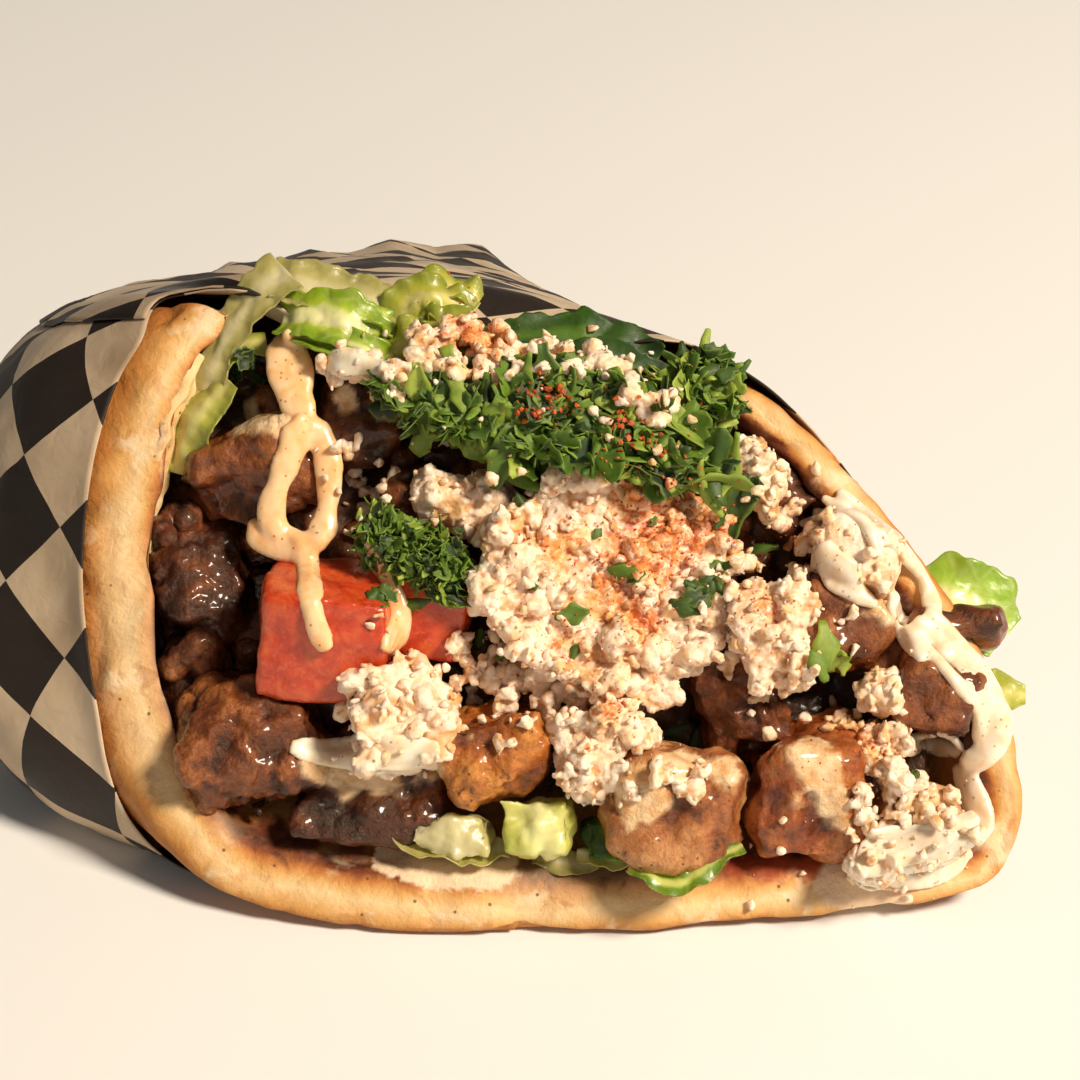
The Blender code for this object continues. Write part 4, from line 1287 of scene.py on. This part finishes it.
def turned_to(normal, spin, tilt, rng):
    """A random frame (columns) whose third axis leans from the normal by up to tilt radians."""
    away = normal + math.tan(tilt) * rng.uniform(-1, 1, 3)
    third = away / np.linalg.norm(away)
    first = np.cross(third, (math.cos(spin), math.sin(spin), 0.3))
    first /= np.linalg.norm(first)
    return np.stack([first, np.cross(third, first), third], axis=1)


def blade(length, width, bend, twist, lobes, cut, rng):
    """A small flat leaf bit about its middle: pointed, lobed or cut short."""
    rows, columns = 9, 5
    t = np.linspace(0, 1, rows)
    outline = np.sin(math.pi * (0.06 + 0.90 * t * cut)) ** 0.7
    outline *= 1 + 0.35 * np.sin(TURN * lobes * t + rng.uniform(0, 6))
    w = np.linspace(-1, 1, columns)
    x = (t[:, None] - 0.5) * length + 0 * w
    y = w[None, :] * outline[:, None] * width / 2
    fold = -abs(w)[None, :] * rng.uniform(-0.25, 0.5) * width
    z = bend * length * (t[:, None] - 0.5) ** 2 * 2 + fold * outline[:, None]
    angle = twist * (t[:, None] - 0.5)
    y, z = y * np.cos(angle) - z * np.sin(angle), y * np.sin(angle) + z * np.cos(angle)
    return np.stack([x, y, z], -1)


def fan(size, rng):
    """A parsley leaflet: three toothed lobes about one foot."""
    parts = []
    for turn, share in ((-0.75, 0.8), (0.0, 1.0), (0.75, 0.8)):
        lobe = blade(size * share * 0.72, size * share * 0.42, rng.uniform(-0.3, 0.5), 0.2, 2.5,
            1.0, rng)
        lobe[..., 0] += size * share * 0.34
        c, s = math.cos(turn), math.sin(turn)
        x, y = lobe[..., 0] * c - lobe[..., 1] * s, lobe[..., 0] * s + lobe[..., 1] * c
        parts.append(np.stack([x - size * 0.3, y, lobe[..., 2]], -1))
    return parts


class Leaves:
    """Gathers small leaf bits into one piece, each with a tint of its own."""

    def __init__(self, seed):
        self.rng = np.random.default_rng(seed)
        self.parts, self.tints, self.sides = [], [], []

    def add(self, grids, place, normal, spin, tilt, tint, thickness=0.14):
        frame_of = turned_to(np.asarray(normal, float), spin, tilt, self.rng)
        for grid in grids:
            placed = grid @ frame_of.T + place
            points, faces = thin_sheet(placed, np.full(grid.shape[:2], thickness))
            self.parts.append((to_world(points), faces))
            self.tints.append(np.full(len(points), tint))
            side = abs(np.linspace(-1, 1, grid.shape[1]))[None, :] + 0 * grid[..., 0]
            self.sides.append(np.tile(side.ravel(), 2))

    def scatter(self, places, normals, longest, lift, tilt):
        rng = self.rng
        for place, normal in zip(places, normals):
            if place[0] < -4.5 and place[1] > 29.5 + rng.uniform(-1.5, 1.5):
                continue
            size = longest * rng.uniform(0.5, 1.0)
            if rng.random() < 0.38:
                grids = fan(size * 0.95, rng)
            else:
                grids = [blade(size, size * rng.uniform(0.14, 0.36), rng.uniform(-0.4, 0.5),
                               rng.uniform(-1, 1), rng.choice([0, 1.5, 2.5]),
                               rng.uniform(0.75, 1.0), rng)]
            above = place + normal * rng.uniform(0, lift)
            self.add(grids, above, normal, rng.uniform(0, TURN), tilt, rng.random())

    def piece(self, name, material, nodes=()):
        points, faces = joined(self.parts)
        obj = make_object(name, points, faces, material, nodes)
        set_attribute(obj.data, "tint", np.concatenate(self.tints))
        set_attribute(obj.data, "side", np.concatenate(self.sides))
        return obj


def parsley_paint():
    paint = Paint("parsley_leaf", roughness=0.6)
    wander = paint.math("MULTIPLY", paint.math("SUBTRACT", paint.noise(2.0, 3), 0.5), 0.5)
    tint = paint.math("ADD", paint.attribute("tint"), wander)
    colour = paint.ramp(tint, [
        (0.05, srgb(26, 44, 6)), (0.35, srgb(58, 86, 14)), (0.7, srgb(94, 124, 28)),
        (1.0, srgb(156, 172, 68)),
    ])
    edge = paint.between(paint.attribute("side"), 0.55, 1.1)
    colour = paint.mix(paint.math("MULTIPLY", edge, 0.5), colour, srgb(124, 146, 50))
    paint.set(Base_Color=colour, Subsurface_Weight=0.2, Subsurface_Scale=0.001)
    paint.set(Subsurface_Radius=(0.6, 1.0, 0.2), Coat_Weight=0.05, Coat_Roughness=0.35)
    paint.bump(paint.noise(0.8, 3), 0.12, 0.5)
    return paint.material


def surface_samples(obj, count, rng):
    """(places, normals) in the mouth's frame, at random over the side that faces out."""
    mesh = obj.data
    mesh.calc_loop_triangles()
    corners = np.empty(len(mesh.loop_triangles) * 3, np.int32)
    mesh.loop_triangles.foreach_get("vertices", corners)
    corners = corners.reshape(-1, 3)
    points = np.stack(mouth_coords(vertex_array(mesh)), -1)[corners]
    cross = np.cross(points[:, 1] - points[:, 0], points[:, 2] - points[:, 0])
    area = np.linalg.norm(cross, axis=1)
    normal = cross / (area[:, None] + 1e-12)
    chance = area * (normal[:, 2] > 0.05)
    chosen = rng.choice(len(area), count, p=chance / chance.sum())
    weights = rng.dirichlet((1, 1, 1), count)
    return (points[chosen] * weights[..., None]).sum(axis=1), normal[chosen]


# Leaves that lie by themselves: (across, up, length, width, turn, tint, lobed). Turn 0 lies across.
SINGLE_LEAVES = [
    (3.1, -2.7, 5.0, 2.6, 12, 0.55, 0), (10.3, 3.3, 4.6, 2.4, -8, 0.6, 0),
    (12.2, 2.4, 3.0, 1.6, 30, 0.3, 0),
    (27.0, 13.0, 10.0, 3.6, 82, 0.22, 0), (28.6, 15.6, 5.0, 3.0, 40, 0.15, 1),
    (30.2, 8.2, 6.4, 2.4, 6, 0.5, 0),
    (24.0, 11.0, 3.0, 1.6, 60, 0.4, 0),
    (38.6, -6.8, 7.0, 3.2, 96, 0.85, 0), (40.2, -8.6, 6.0, 3.4, 50, 0.9, 1),
    (37.2, -10.0, 5.0, 2.4, 120, 0.7, 0),
    (50.8, -26.4, 4.0, 2.2, 70, 0.35, 0), (-23.4, -0.8, 5.4, 3.6, 80, 0.35, 1),
    (-24.8, -0.2, 3.4, 1.8, 20, 0.3, 0),
    (-18.6, -1.0, 4.2, 2.4, 14, 0.45, 0), (-16.4, 0.0, 2.6, 1.5, -40, 0.3, 0),
    (3.6, -7.8, 2.6, 1.5, 60, 0.45, 0), (-10.0, -5.6, 3.0, 1.4, 75, 0.5, 0),
    (-7.0, -8.4, 1.8, 1.0, 20, 0.6, 0),
    (20.2, -0.4, 6.5, 4.2, 20, 0.2, 1), (22.6, 1.2, 5.0, 3.4, 70, 0.25, 1),
    (18.8, -1.8, 4.5, 2.4, -25, 0.3, 0),
    (23.8, 4.0, 4.0, 2.0, 15, 0.45, 0), (25.2, 0.6, 3.2, 1.7, 90, 0.4, 0),
    (18.2, -18.2, 5.5, 3.0, 15, 0.15, 0), (20.8, -20.0, 4.5, 2.6, 70, 0.1, 0),
    (-44.2, 34.8, 5.0, 3.6, 60, 0.05, 1), (-45.8, 33.2, 4.0, 2.6, 20, 0.1, 1),
    (-42.6, 32.8, 4.0, 2.2, -30, 0.1, 0),
    (-8.0, 24.0, 4.0, 2.2, 30, 0.6, 0), (-17.5, 30.0, 5.0, 2.4, 80, 0.35, 0),
    (-15.2, 27.4, 4.0, 2.2, 50, 0.25, 0),
    (-1.0, 33.4, 4.0, 2.2, -30, 0.3, 0), (6.5, 8.5, 2.0, 1.2, 45, 0.4, 0),
    (-4.0, 13.0, 3.0, 1.6, -60, 0.2, 0),
    (33.0, 2.8, 2.0, 1.2, 10, 0.5, 0), (14.4, 10.5, 1.8, 1.0, 60, 0.4, 0),
    (-2.0, 1.0, 2.0, 1.1, 100, 0.4, 0),
]


def make_parsley(ground_pieces):
    """Chopped flat-leaf parsley: heaps over near-black cores that are painted shade between the
    leaves, and leaves that lie by themselves.
    """
    paint = parsley_paint()
    # The cores are painted shade: a near-black green that stands for the shade down between the
    # leaves.
    shade_core_paint = Paint("parsley_shaded", roughness=0.7)
    colour = shade_core_paint.ramp(shade_core_paint.noise(1.6, 4),
        [(0.35, srgb(12, 28, 8)), (0.65, srgb(38, 72, 20))])
    shade_core_paint.set(Base_Color=colour)
    rng = np.random.default_rng(7)
    heaps = {
        "parsley_heap": (360, 11.0, 2.0, 0.45, -2.0), "parsley_clump": (200, 5.2, 1.4, 0.9, -1.2),
        "parsley_back": (90, 10.0, 0.8, 0.3, -2.8),
    }
    cores = []
    for node, (count, longest, lift, tilt, sunk) in heaps.items():
        mesh = displaced(
            remeshed(node_mesh(node), 0.7, 6),
            lambda points, normals: sunk + 1.0 * fractal(points, 3.2, 2, 101),
        )
        core = adopt(node + "_core", mesh, shade_core_paint.material, [node])
        cores.append(core)
        leaves = Leaves(len(node))
        places, normals = surface_samples(core, count, rng)
        leaves.scatter(places, normals, longest, lift, tilt)
        leaves.piece(node + "_leaves", paint)
    ground = Ground(ground_pieces + cores)
    single = Leaves(23)
    for across, up, length, width, turn, tint, lobed in SINGLE_LEAVES:
        hit = ground.drop(across, up)
        if hit is None:
            continue
        out, normal = hit
        normal = normal + np.array((0, 0, 1.2))
        grids = fan(length, single.rng) if lobed else [
            blade(length, width, single.rng.uniform(-0.2, 0.3), 0.3, 1.5, 1.0, single.rng)]
        turn = math.radians(turn)
        place = np.array((across, up, out)) + normal / np.linalg.norm(normal) * 0.6
        single.add(grids, place, normal, math.atan2(math.cos(turn), -math.sin(turn)), 0.15, tint)
    single.piece("parsley_scattered", paint)
    return cores


# ---------------------------------------------------------------- sauce and crumbs

# Strands of sauce: points (across, up, width), drizzled over the filling. A fourth number is
# how far out the strand hangs at least, where it crosses a gap.
ORANGE_SAUCE = [
    [(-38.4, 37.4, 4.6, 0.5), (-37.9, 35.4, 7.0, 2), (-36.9, 31.5, 6.0, 3), (-36.3, 28.4, 5.4, 3.6),
     (-34.6, 24.4, 6.6, 4.2)],
    [(-35.0, 25.0, 4.4, 4.2), (-36.8, 20.5, 3.6, 4), (-38.8, 15.5, 3.5, 4), (-39.6, 11.8, 3.8, 3.4),
     (-38.4, 8.6, 4.2, 3)],
    [(-34.2, 25.0, 4.2, 4.2), (-32.0, 21.5, 3.6, 4), (-31.4, 16.5, 3.3, 3.6),
        (-31.8, 11.5, 3.3, 3.6),
     (-32.6, 8.2, 3.6, 4)],
    [(-42.2, 10.6, 3.0, 1.5), (-41.0, 9.2, 4.6, 2), (-38.4, 8.0, 5.2, 2.6), (-35.6, 7.2, 4.2, 3.4),
     (-32.6, 8.0, 3.6, 4)],
    [(-35.4, 8.0, 3.2, 4), (-34.0, 3.4, 3.1, 3), (-33.2, -0.6, 3.2, 0), (-32.3, -4.6, 3.4, 0),
        (-31.2, -7.4, 3.6, 0)],
    [(-25.4, 7.0, 2.6, 3), (-24.0, 4.4, 3.0, 2), (-22.4, 1.4, 3.1, 0), (-21.0, -2.4, 3.1, 0),
        (-21.6, -5.4, 3.0, 0),
     (-22.6, -7.6, 2.4, 0)],
]
PALE_SAUCE = [
    [(36.6, 11.6, 1.3), (40.4, 12.2, 1.4), (43.6, 11.2, 1.4), (45.6, 8.8, 1.5)],
    [(41.6, 15.4, 1.4), (43.6, 13.6, 1.5), (46.1, 10.7, 1.6), (47.2, 7.8, 1.6)],
    [(46.6, 9.0, 1.8), (49.6, 6.6, 1.7), (52.4, 4.4, 1.8), (53.8, 1.4, 2.0), (54.6, -2.4, 2.4)],
    [(48.6, 0.4, 2.2), (49.6, -2.6, 2.6), (51.0, -5.6, 2.4), (52.2, -8.6, 2.2)],
    [(52.0, -3.4, 2.6), (55.6, -6.6, 3.4), (59.6, -10.4, 3.8), (62.6, -14.6, 4.4),
        (63.6, -18.4, 4.6),
     (62.0, -21.6, 4.0), (59.4, -23.2, 3.6)],
    [(53.6, -2.0, 1.3), (57.2, -5.0, 1.5), (61.0, -9.0, 1.6), (64.0, -13.6, 1.6)],
    [(50.6, -4.4, 1.4), (54.0, -8.4, 1.5), (57.4, -12.4, 1.6), (60.4, -16.4, 1.8),
        (61.4, -20.0, 1.8)],
    [(45.0, 12.6, 1.2), (48.4, 9.4, 1.3), (51.6, 5.6, 1.3), (53.6, 2.4, 1.4)],
    [(39.4, 14.6, 1.1), (42.4, 12.2, 1.2), (44.6, 9.0, 1.2), (46.0, 6.0, 1.2)],
    [(49.6, -21.6, 2.4), (52.4, -20.2, 2.9), (55.4, -19.8, 3.0), (58.8, -21.2, 3.0)],
    [(59.0, -23.6, 3.2), (60.4, -27.4, 3.2), (61.4, -30.6, 3.1), (61.2, -33.4, 2.8)],
    [(43.0, -38.2, 4.0), (45.6, -36.8, 6.5), (48.6, -35.4, 5.0), (52.0, -34.6, 4.4),
        (56.4, -33.4, 3.4)],
    [(38.4, 6.8, 4.0), (40.6, 3.6, 4.6), (43.0, 0.8, 3.6), (45.4, -0.8, 2.4)],
]
CREAM_SMEARS = [
    [(-36.0, -21.2, 3.2), (-31.6, -21.8, 4.6), (-26.6, -22.0, 5.6), (-20.6, -22.4, 5.2),
        (-15.6, -21.6, 3.6)],
    [(-33.4, 33.6, 2.6), (-29.6, 33.2, 3.6), (-25.6, 32.4, 3.4), (-22.0, 31.4, 3.0)],
    [(42.0, -37.6, 4.0), (46.0, -38.0, 5.6), (50.6, -38.2, 6.0), (55.0, -37.2, 5.4),
        (59.0, -34.8, 4.4)],
    [(44.6, -33.6, 3.0), (49.6, -34.6, 4.4), (54.6, -33.4, 4.4), (59.0, -30.8, 3.6)],
]


def draped(strands, ground, thick, name, material, seed):
    """Sauce that has run: beads laid close together over the ground and melted into one."""
    rng = np.random.default_rng(seed)
    parts = []
    points, faces = COARSE_BALL
    for strand in strands:
        strand = np.asarray(strand, float)
        length = np.linalg.norm(np.diff(strand[:, :2], axis=0), axis=1).sum()
        path = spline(strand, max(int(length / 0.45), 5))
        ahead = np.gradient(path[:, :2], axis=0)
        ahead /= np.linalg.norm(ahead, axis=1, keepdims=True)
        side = np.stack([-ahead[:, 1], ahead[:, 0]], -1)
        run = np.linspace(0, length, len(path))
        from_end = np.minimum(run, length - run)
        flat_path = np.stack([path[:, 0], path[:, 1], 0 * run], -1)
        wide = (path[:, 2] + 0.7) * (1 + 0.2 * noise(flat_path, 3.2, seed))
        wide *= np.sqrt(1 - (1 - np.clip(from_end / (wide / 2), 0.3, 1)) ** 2)
        bead = np.clip(0.66 + 0.15 * wide, 0.5, thick)
        lanes = max(int(np.ceil(wide.max() / 0.8)), 1)
        reach = np.maximum(wide / 2 - bead * 0.8, 0.0)
        for lane in np.linspace(-1, 1, lanes) if lanes > 1 else (0.0,):
            flat = path[:, :2] + side * (lane * reach)[:, None]
            outs = [ground.drop(a, u) for a, u in flat]
            known = [hit[0] for hit in outs if hit]
            if not known:
                continue
            low = min(known)
            outs = np.array([hit[0] if hit else low for hit in outs])
            window = min(2 * (len(outs) // 3) + 1, 25)
            kernel = np.hanning(window + 2)[1:-1]
            eased = np.convolve(np.pad(outs, window // 2, mode="edge"), kernel / kernel.sum(),
                "valid")
            outs = np.maximum(outs * 0.4 + eased * 0.6, eased + 0.3)
            if path.shape[1] > 3:
                outs = np.maximum(outs, path[:, 3])
            rounded = 0.7 + 0.3 * math.sqrt(1 - lane**2 * 0.9)
            for (a, u), out, radius in zip(flat, outs, bead * rounded):
                radius *= rng.uniform(0.94, 1.06)
                parts.append((points * radius + (a, u, out + radius * 0.2), faces))
    points, faces = joined(parts)
    rough = bpy.data.meshes.new(name)
    rough.from_pydata((to_world(points) * MM).tolist(), [], faces)
    mesh = remeshed(rough, 0.34, 9)
    return adopt(name, mesh, material)


def sauce_paint(name, pale, deep, speck):
    paint = Paint(name, roughness=0.28)
    colour = paint.ramp(paint.noise(3, 4, 0.6), [(0.35, deep), (0.6, pale)])
    specks = paint.math("SUBTRACT", 1.0, paint.between(paint.cells(1.3), 0.10, 0.2))
    shown = paint.math("MULTIPLY", specks, paint.between(paint.noise(4, 2), 0.40, 0.55))
    colour = paint.mix(paint.math("MULTIPLY", shown, 0.75), colour, speck)
    paint.set(Base_Color=colour, Subsurface_Weight=0.3, Subsurface_Scale=0.003)
    paint.set(Subsurface_Radius=(1.0, 0.7, 0.4), Coat_Weight=0.3, Coat_Roughness=0.12)
    paint.bump(paint.noise(1.6, 3), 0.15, 0.5)
    return paint.material


def make_sauce(ground):
    orange = sauce_paint("sauce_orange_cream", srgb(255, 210, 162), srgb(248, 188, 126),
        srgb(186, 84, 26))
    pale = sauce_paint("sauce_pale_cream", srgb(254, 234, 212), srgb(240, 210, 172),
        srgb(170, 130, 70))
    smear = sauce_paint("sauce_smeared", srgb(252, 238, 214), srgb(242, 212, 174),
        srgb(150, 90, 50))
    return [
        draped(CREAM_SMEARS, ground, 0.7, "sauce_smears", smear, 131),
        draped(ORANGE_SAUCE, ground, 1.15, "sauce_drizzle_left", orange, 132),
        draped(PALE_SAUCE, ground, 1.0, "sauce_drizzle_right", pale, 133),
    ]


# Loose crumbs of feta lie thickest round these places: (across, up, spread, count).
CRUMB_SPOTS = [
    (-27, 16, 4.5, 26), (-8, 12, 5, 24), (-4, -2, 4, 18), (-9, -12, 3.5, 22), (4, -16, 4, 22),
    (13, -22, 4, 16),
    (19, -26.5, 3, 9), (20, 6, 6, 24), (26, -2, 4, 20), (33, -14, 4, 14), (44, -16, 4, 16),
    (48, -28, 3.5, 16),
    (38, 12, 5, 14), (14, 26, 7, 20), (-4, 28, 5, 14), (-20, 33, 5, 16), (-20, -14, 7, 12),
    (42, 0, 5, 12),
    (24, 14, 5, 16), (0, 36, 4, 8), (50, -36, 4, 40), (57, -33, 3, 20), (44, -38, 2.5, 14),
    (54, -27, 3, 10),
    (33, -36, 4, 10), (1, -20, 4, 14), (-7, -13, 3, 20), (6, -13, 4, 24),
]
# Loose clumps of feta that fill in between the larger lumps: (across, up, size, least out).
CLUMP_SPOTS = [
    (-8.0, -12.4, 8, 2.5), (-4.4, -10.2, 6.5, 2), (-10.4, -8.6, 5.5, 2), (-1.0, -12.8, 6.5, 3),
    (2.6, -11.6, 6, 3),
    (5.6, -14.0, 7, 3), (1.6, -16.2, 6, 3), (8.6, -14.2, 6, 3), (-13.2, -7.0, 5, 2),
    (-6.4, -6.4, 5, 1), (-12, -11, 5, 3),
    (18.6, 10.4, 5, -9), (25.2, 8.6, 5.5, 1), (23.0, 12.8, 5, 0), (27.6, 4.8, 4.5, 0),
    (33.6, 12.2, 5, 0),
    (36.8, 8.8, 4.5, 0), (38.6, 12.0, 3.6, -2), (46.2, -33.0, 5, 0), (51.8, -35.4, 5.5, 0),
    (57.0, -31.6, 4.5, 0),
    (43.4, -36.6, 4.5, 0), (48.0, -38.2, 5, 0), (48.6, -26.2, 4.5, 0), (43.6, -27.8, 4, 0),
    (19.0, -26.6, 4.6, -9),
    (-28.6, 17.6, 3.4, -9), (-26.4, 12.8, 3.6, -9), (-29.0, 21.4, 3, -9), (-24.6, 16.0, 3, -9),
    (12.8, 28.0, 4.5, 0),
    (15.4, 25.8, 4, 0), (-14.0, 23.0, 3.4, 0), (8.4, 32.4, 3.6, 0), (3.6, 33.6, 4, 0),
    (40.6, -17.6, 4, 0),
    (24.4, -9.6, 4, 0), (36.0, 3.6, 4, 0), (29.0, -13.6, 3.6, 0), (-26.6, 9.0, 3.4, -2),
    (-20.0, 7.0, 3.6, 0),
]


# Clumps that lie over the herbs and along the top.
TOP_CLUMPS = [
    (-31.8, 32.6, 5.4, 6), (-27.5, 33.4, 7, 7), (-23.6, 32.2, 7, 7), (-20.4, 30.4, 5.6, 6.5),
    (-18.0, 35.4, 7, 6.5),
    (-13.0, 36.4, 7, 5.5), (-8.4, 36.0, 7, 6), (-14.0, 31.8, 6, 5.5), (-10.0, 32.4, 6, 6),
    (0.8, 33.6, 6, 7),
    (5.0, 33.0, 7, 8), (9.0, 31.6, 5.6, 9), (12.4, 28.4, 6, 10.5), (14.6, 25.6, 6, 10.5),
    (-4.4, 34.0, 5.4, 6.5),
    (-17.4, 33.0, 5, 5), (-6.4, 31.2, 4.4, 6.5), (-24.8, 28.6, 4.4, 4.5), (-21.6, 27.4, 3.6, 4.5),
    (47.0, -24.0, 4.6, -9), (50.4, -27.4, 5, -9), (53.4, -31.0, 5, -9), (44.4, -31.6, 4.4, -9),
    (55.4, -35.4, 5, -9),
    (59.4, -32.4, 4, -9), (47.6, -38.8, 5, -9), (51.6, -38.6, 5, -9), (43.4, -38.6, 4, -9),
    (60.6, -28.0, 3.6, -9),
    (56.8, -27.6, 3.6, -9), (12.0, -27.4, 4, -9), (16.0, -25.0, 4, -9),
]


def scattered_crumbs(spots, sizes, ground, rng, sink=0.15, rough=0.35):
    parts = []
    for across, up, spread, count in spots:
        for a, u in rng.normal((across, up), spread, (count, 2)):
            hit = ground.drop(a, u)
            if hit is None:
                continue
            size = sizes[0] + (sizes[1] - sizes[0]) * rng.random() ** 2.2
            points, faces = crumb((a, u, hit[0] + size * (0.5 - sink)), size, rng, rough)
            parts.append((to_world(points), faces))
    return joined(parts)


def make_clumps(name, spots, ground, feta):
    rng = np.random.default_rng(39)
    parts = []
    for across, up, size, least in spots:
        for _ in range(6):
            a, u = (across, up) + rng.uniform(-0.32, 0.32, 2) * size
            hit = ground.drop(a, u)
            if hit is None:
                continue
            out = max(hit[0] + size * 0.12, least + rng.uniform(-1, 1))
            points, faces = crumb((a, u, out), size * rng.uniform(0.42, 0.72), rng)
            parts.append((to_world(points), faces))
    points, faces = joined(parts)
    rough = bpy.data.meshes.new("clumps")
    rough.from_pydata((points * MM).tolist(), [], faces)
    mesh = displaced(remeshed(rough, 0.40, 1), cheese_relief(1.8, 0.8))
    set_attribute(mesh, "paprika", paprika_at(vertex_array(mesh)))
    return adopt(name, mesh, feta)


def make_crumbs(ground, feta, crumbly):
    rng = np.random.default_rng(41)
    points, faces = scattered_crumbs(CRUMB_SPOTS, (0.7, 3.4), ground, rng)
    parts = [(points, faces)]
    for obj in crumbly:
        count = int(20 + 0.01 * len(obj.data.vertices))
        places, normals = surface_samples(obj, count, rng)
        for place, normal in zip(places, normals):
            size = 0.7 + 1.9 * rng.random() ** 2
            points, faces = crumb(place + normal * size * 0.2, size, rng, 0.35)
            parts.append((to_world(points), faces))
    points, faces = joined(parts)
    rough = bpy.data.meshes.new("crumbs")
    rough.from_pydata((points * MM).tolist(), [], faces)
    mesh = displaced(remeshed(rough, 0.31, 1), lambda points,
        normals: 0.2 * fractal(points, 0.9, 2, 121))
    set_attribute(mesh, "paprika", paprika_at(vertex_array(mesh)))
    return adopt("feta_crumbs", mesh, feta)


def make_spice(ground):
    """Paprika grains on the cheese, and flakes of it in two small drifts on the parsley."""
    rng = np.random.default_rng(43)
    paint = Paint("paprika_flake", roughness=0.6)
    colour = paint.ramp(paint.noise(1.0, 2), [(0.35, srgb(140, 48, 12)), (0.6, srgb(210, 98, 34))])
    paint.set(Base_Color=colour)
    drifts = [(0.8, 27.4, 1.9, 46), (10.4, 22.8, 1.9, 46), (-2.5, 25.2, 1.2, 10),
        (13.5, 20.5, 1.5, 12)]
    points, faces = scattered_crumbs(drifts, (0.5, 1.4), ground, rng, 0.0, 0.6)
    parts = [(points, faces)]
    dust = [(a, u, r * 1.1, int(r * 11)) for a, u, r in PAPRIKA_SPOTS]
    parts.append(scattered_crumbs(dust, (0.24, 0.6), ground, rng, 0.2, 0.5))
    points, faces = joined(parts)
    make_object("paprika_flakes", points, faces, paint.material, smooth=False)


def make_scraps(ground):
    """Small bits of meat down in the gaps between the large pieces."""
    rng = np.random.default_rng(47)
    paint = meat_paint("meat_scrap", srgb(30, 12, 6), srgb(96, 46, 22), srgb(160, 98, 54), -0.02,
        0.7)
    parts = []
    while len(parts) < 90:
        across, up = rng.uniform(-57, 44), rng.uniform(-36, 36)
        hit = ground.drop(across, up)
        if hit is None or hit[0] > -4.5:
            continue
        size = rng.uniform(3.0, 7.5)
        points, faces = crumb((across, up, hit[0] + size * 0.15), size, rng, 0.5, FINE_BALL)
        parts.append((to_world(points), faces))
    points, faces = joined(parts)
    rough = bpy.data.meshes.new("scraps")
    rough.from_pydata((points * MM).tolist(), [], faces)
    mesh = meat_mesh(rough, 0.5, 0.7)
    return adopt("meat_scraps", mesh, paint)


# ---------------------------------------------------------------- stage

def plain_material(name, colour, roughness=0.8):
    material = bpy.data.materials.new(name)
    material.use_nodes = True
    shader = material.node_tree.nodes["Principled BSDF"]
    shader.inputs["Base Color"].default_value = (*colour, 1.0)
    shader.inputs["Roughness"].default_value = roughness
    return material


def add_light(name, place, target, size, power, colour):
    data = bpy.data.lights.new(name, "AREA")
    data.shape = "DISK"
    data.size = size
    data.energy = power
    data.color = colour
    obj = bpy.data.objects.new(name, data)
    obj.location = place
    obj.rotation_euler = (Vector(target) - Vector(place)).to_track_quat("-Z", "Y").to_euler()
    bpy.context.scene.collection.objects.link(obj)


def make_stage():
    floor_mesh = bpy.data.meshes.new("floor")
    reach = 3.0
    floor_mesh.from_pydata([(-reach, -reach, 0), (reach, -reach, 0), (reach, reach, 0),
        (-reach, reach, 0)],
                           [], [(0, 1, 2, 3)])
    floor_mesh.materials.append(plain_material("floor_white", (0.86, 0.855, 0.85)))
    floor = bpy.data.objects.new("floor", floor_mesh)
    bpy.context.scene.collection.objects.link(floor)
    world = bpy.data.worlds.new("studio")
    world.use_nodes = True
    bpy.context.scene.view_settings.view_transform = "Standard"
    background = world.node_tree.nodes["Background"]
    background.inputs["Color"].default_value = (1.0, 0.97, 0.93, 1.0)
    background.inputs["Strength"].default_value = 0.10
    bpy.context.scene.world = world
    middle = (0.0, -0.03, 0.03)
    add_light("key", (0.92, -0.57, 1.17), middle, 0.36, 35.2, (1.0, 0.87, 0.70))
    add_light("fill", (0.0, -1.8, 0.67), middle, 1.2, 2.8, (1.0, 0.90, 0.78))


def make_camera():
    """Looks down at the mouth from the front, from a hand's distance and a bit."""
    data = bpy.data.cameras.new("camera")
    data.lens = 98.0
    data.sensor_width = 36.0
    data.clip_start = 0.01
    camera = bpy.data.objects.new("camera", data)
    height = math.radians(35.0)
    mouth = Vector(MOUTH_CENTRE * MM)
    back = Vector((0.0, -math.cos(height), math.sin(height)))
    upwards = Vector((0.0, math.sin(height), math.cos(height)))
    camera.location = mouth + back * 0.42
    target = mouth + upwards * 0.0086 - Vector((0.0014, 0.0, 0.0))
    camera.rotation_euler = (target - camera.location).to_track_quat("-Z", "Y").to_euler()
    bpy.context.scene.collection.objects.link(camera)
    bpy.context.scene.camera = camera


# ---------------------------------------------------------------- the wrap

SOLID_ENDINGS = ("_chunk", "_core", "_dice", "_crumbly", "_leaf", "_piece", "_scraps")


def solid_food():
    return [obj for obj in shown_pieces() if obj.name.endswith(SOLID_ENDINGS)]


make_pita()
make_inner_fold()
make_paper()
make_meat()
make_core()
make_tomato()
feta = make_cheese()
make_lettuce()
scraps = make_scraps(Ground(solid_food()))
make_clumps("feta_clumps_crumbly", CLUMP_SPOTS,
    Ground(solid_food() + [bpy.data.objects["pita_bread"]]), feta)
make_parsley(solid_food())
make_clumps("feta_top_crumbly", TOP_CLUMPS, Ground(solid_food() + [bpy.data.objects["pita_bread"]]),
    feta)
make_sauce(Ground(solid_food() + [bpy.data.objects["pita_bread"]]))
crumbly = [obj for obj in solid_food() if obj.name.endswith("_crumbly")]
make_crumbs(Ground(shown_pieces()), feta, crumbly)
make_spice(Ground(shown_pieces()))
make_stage()
make_camera()
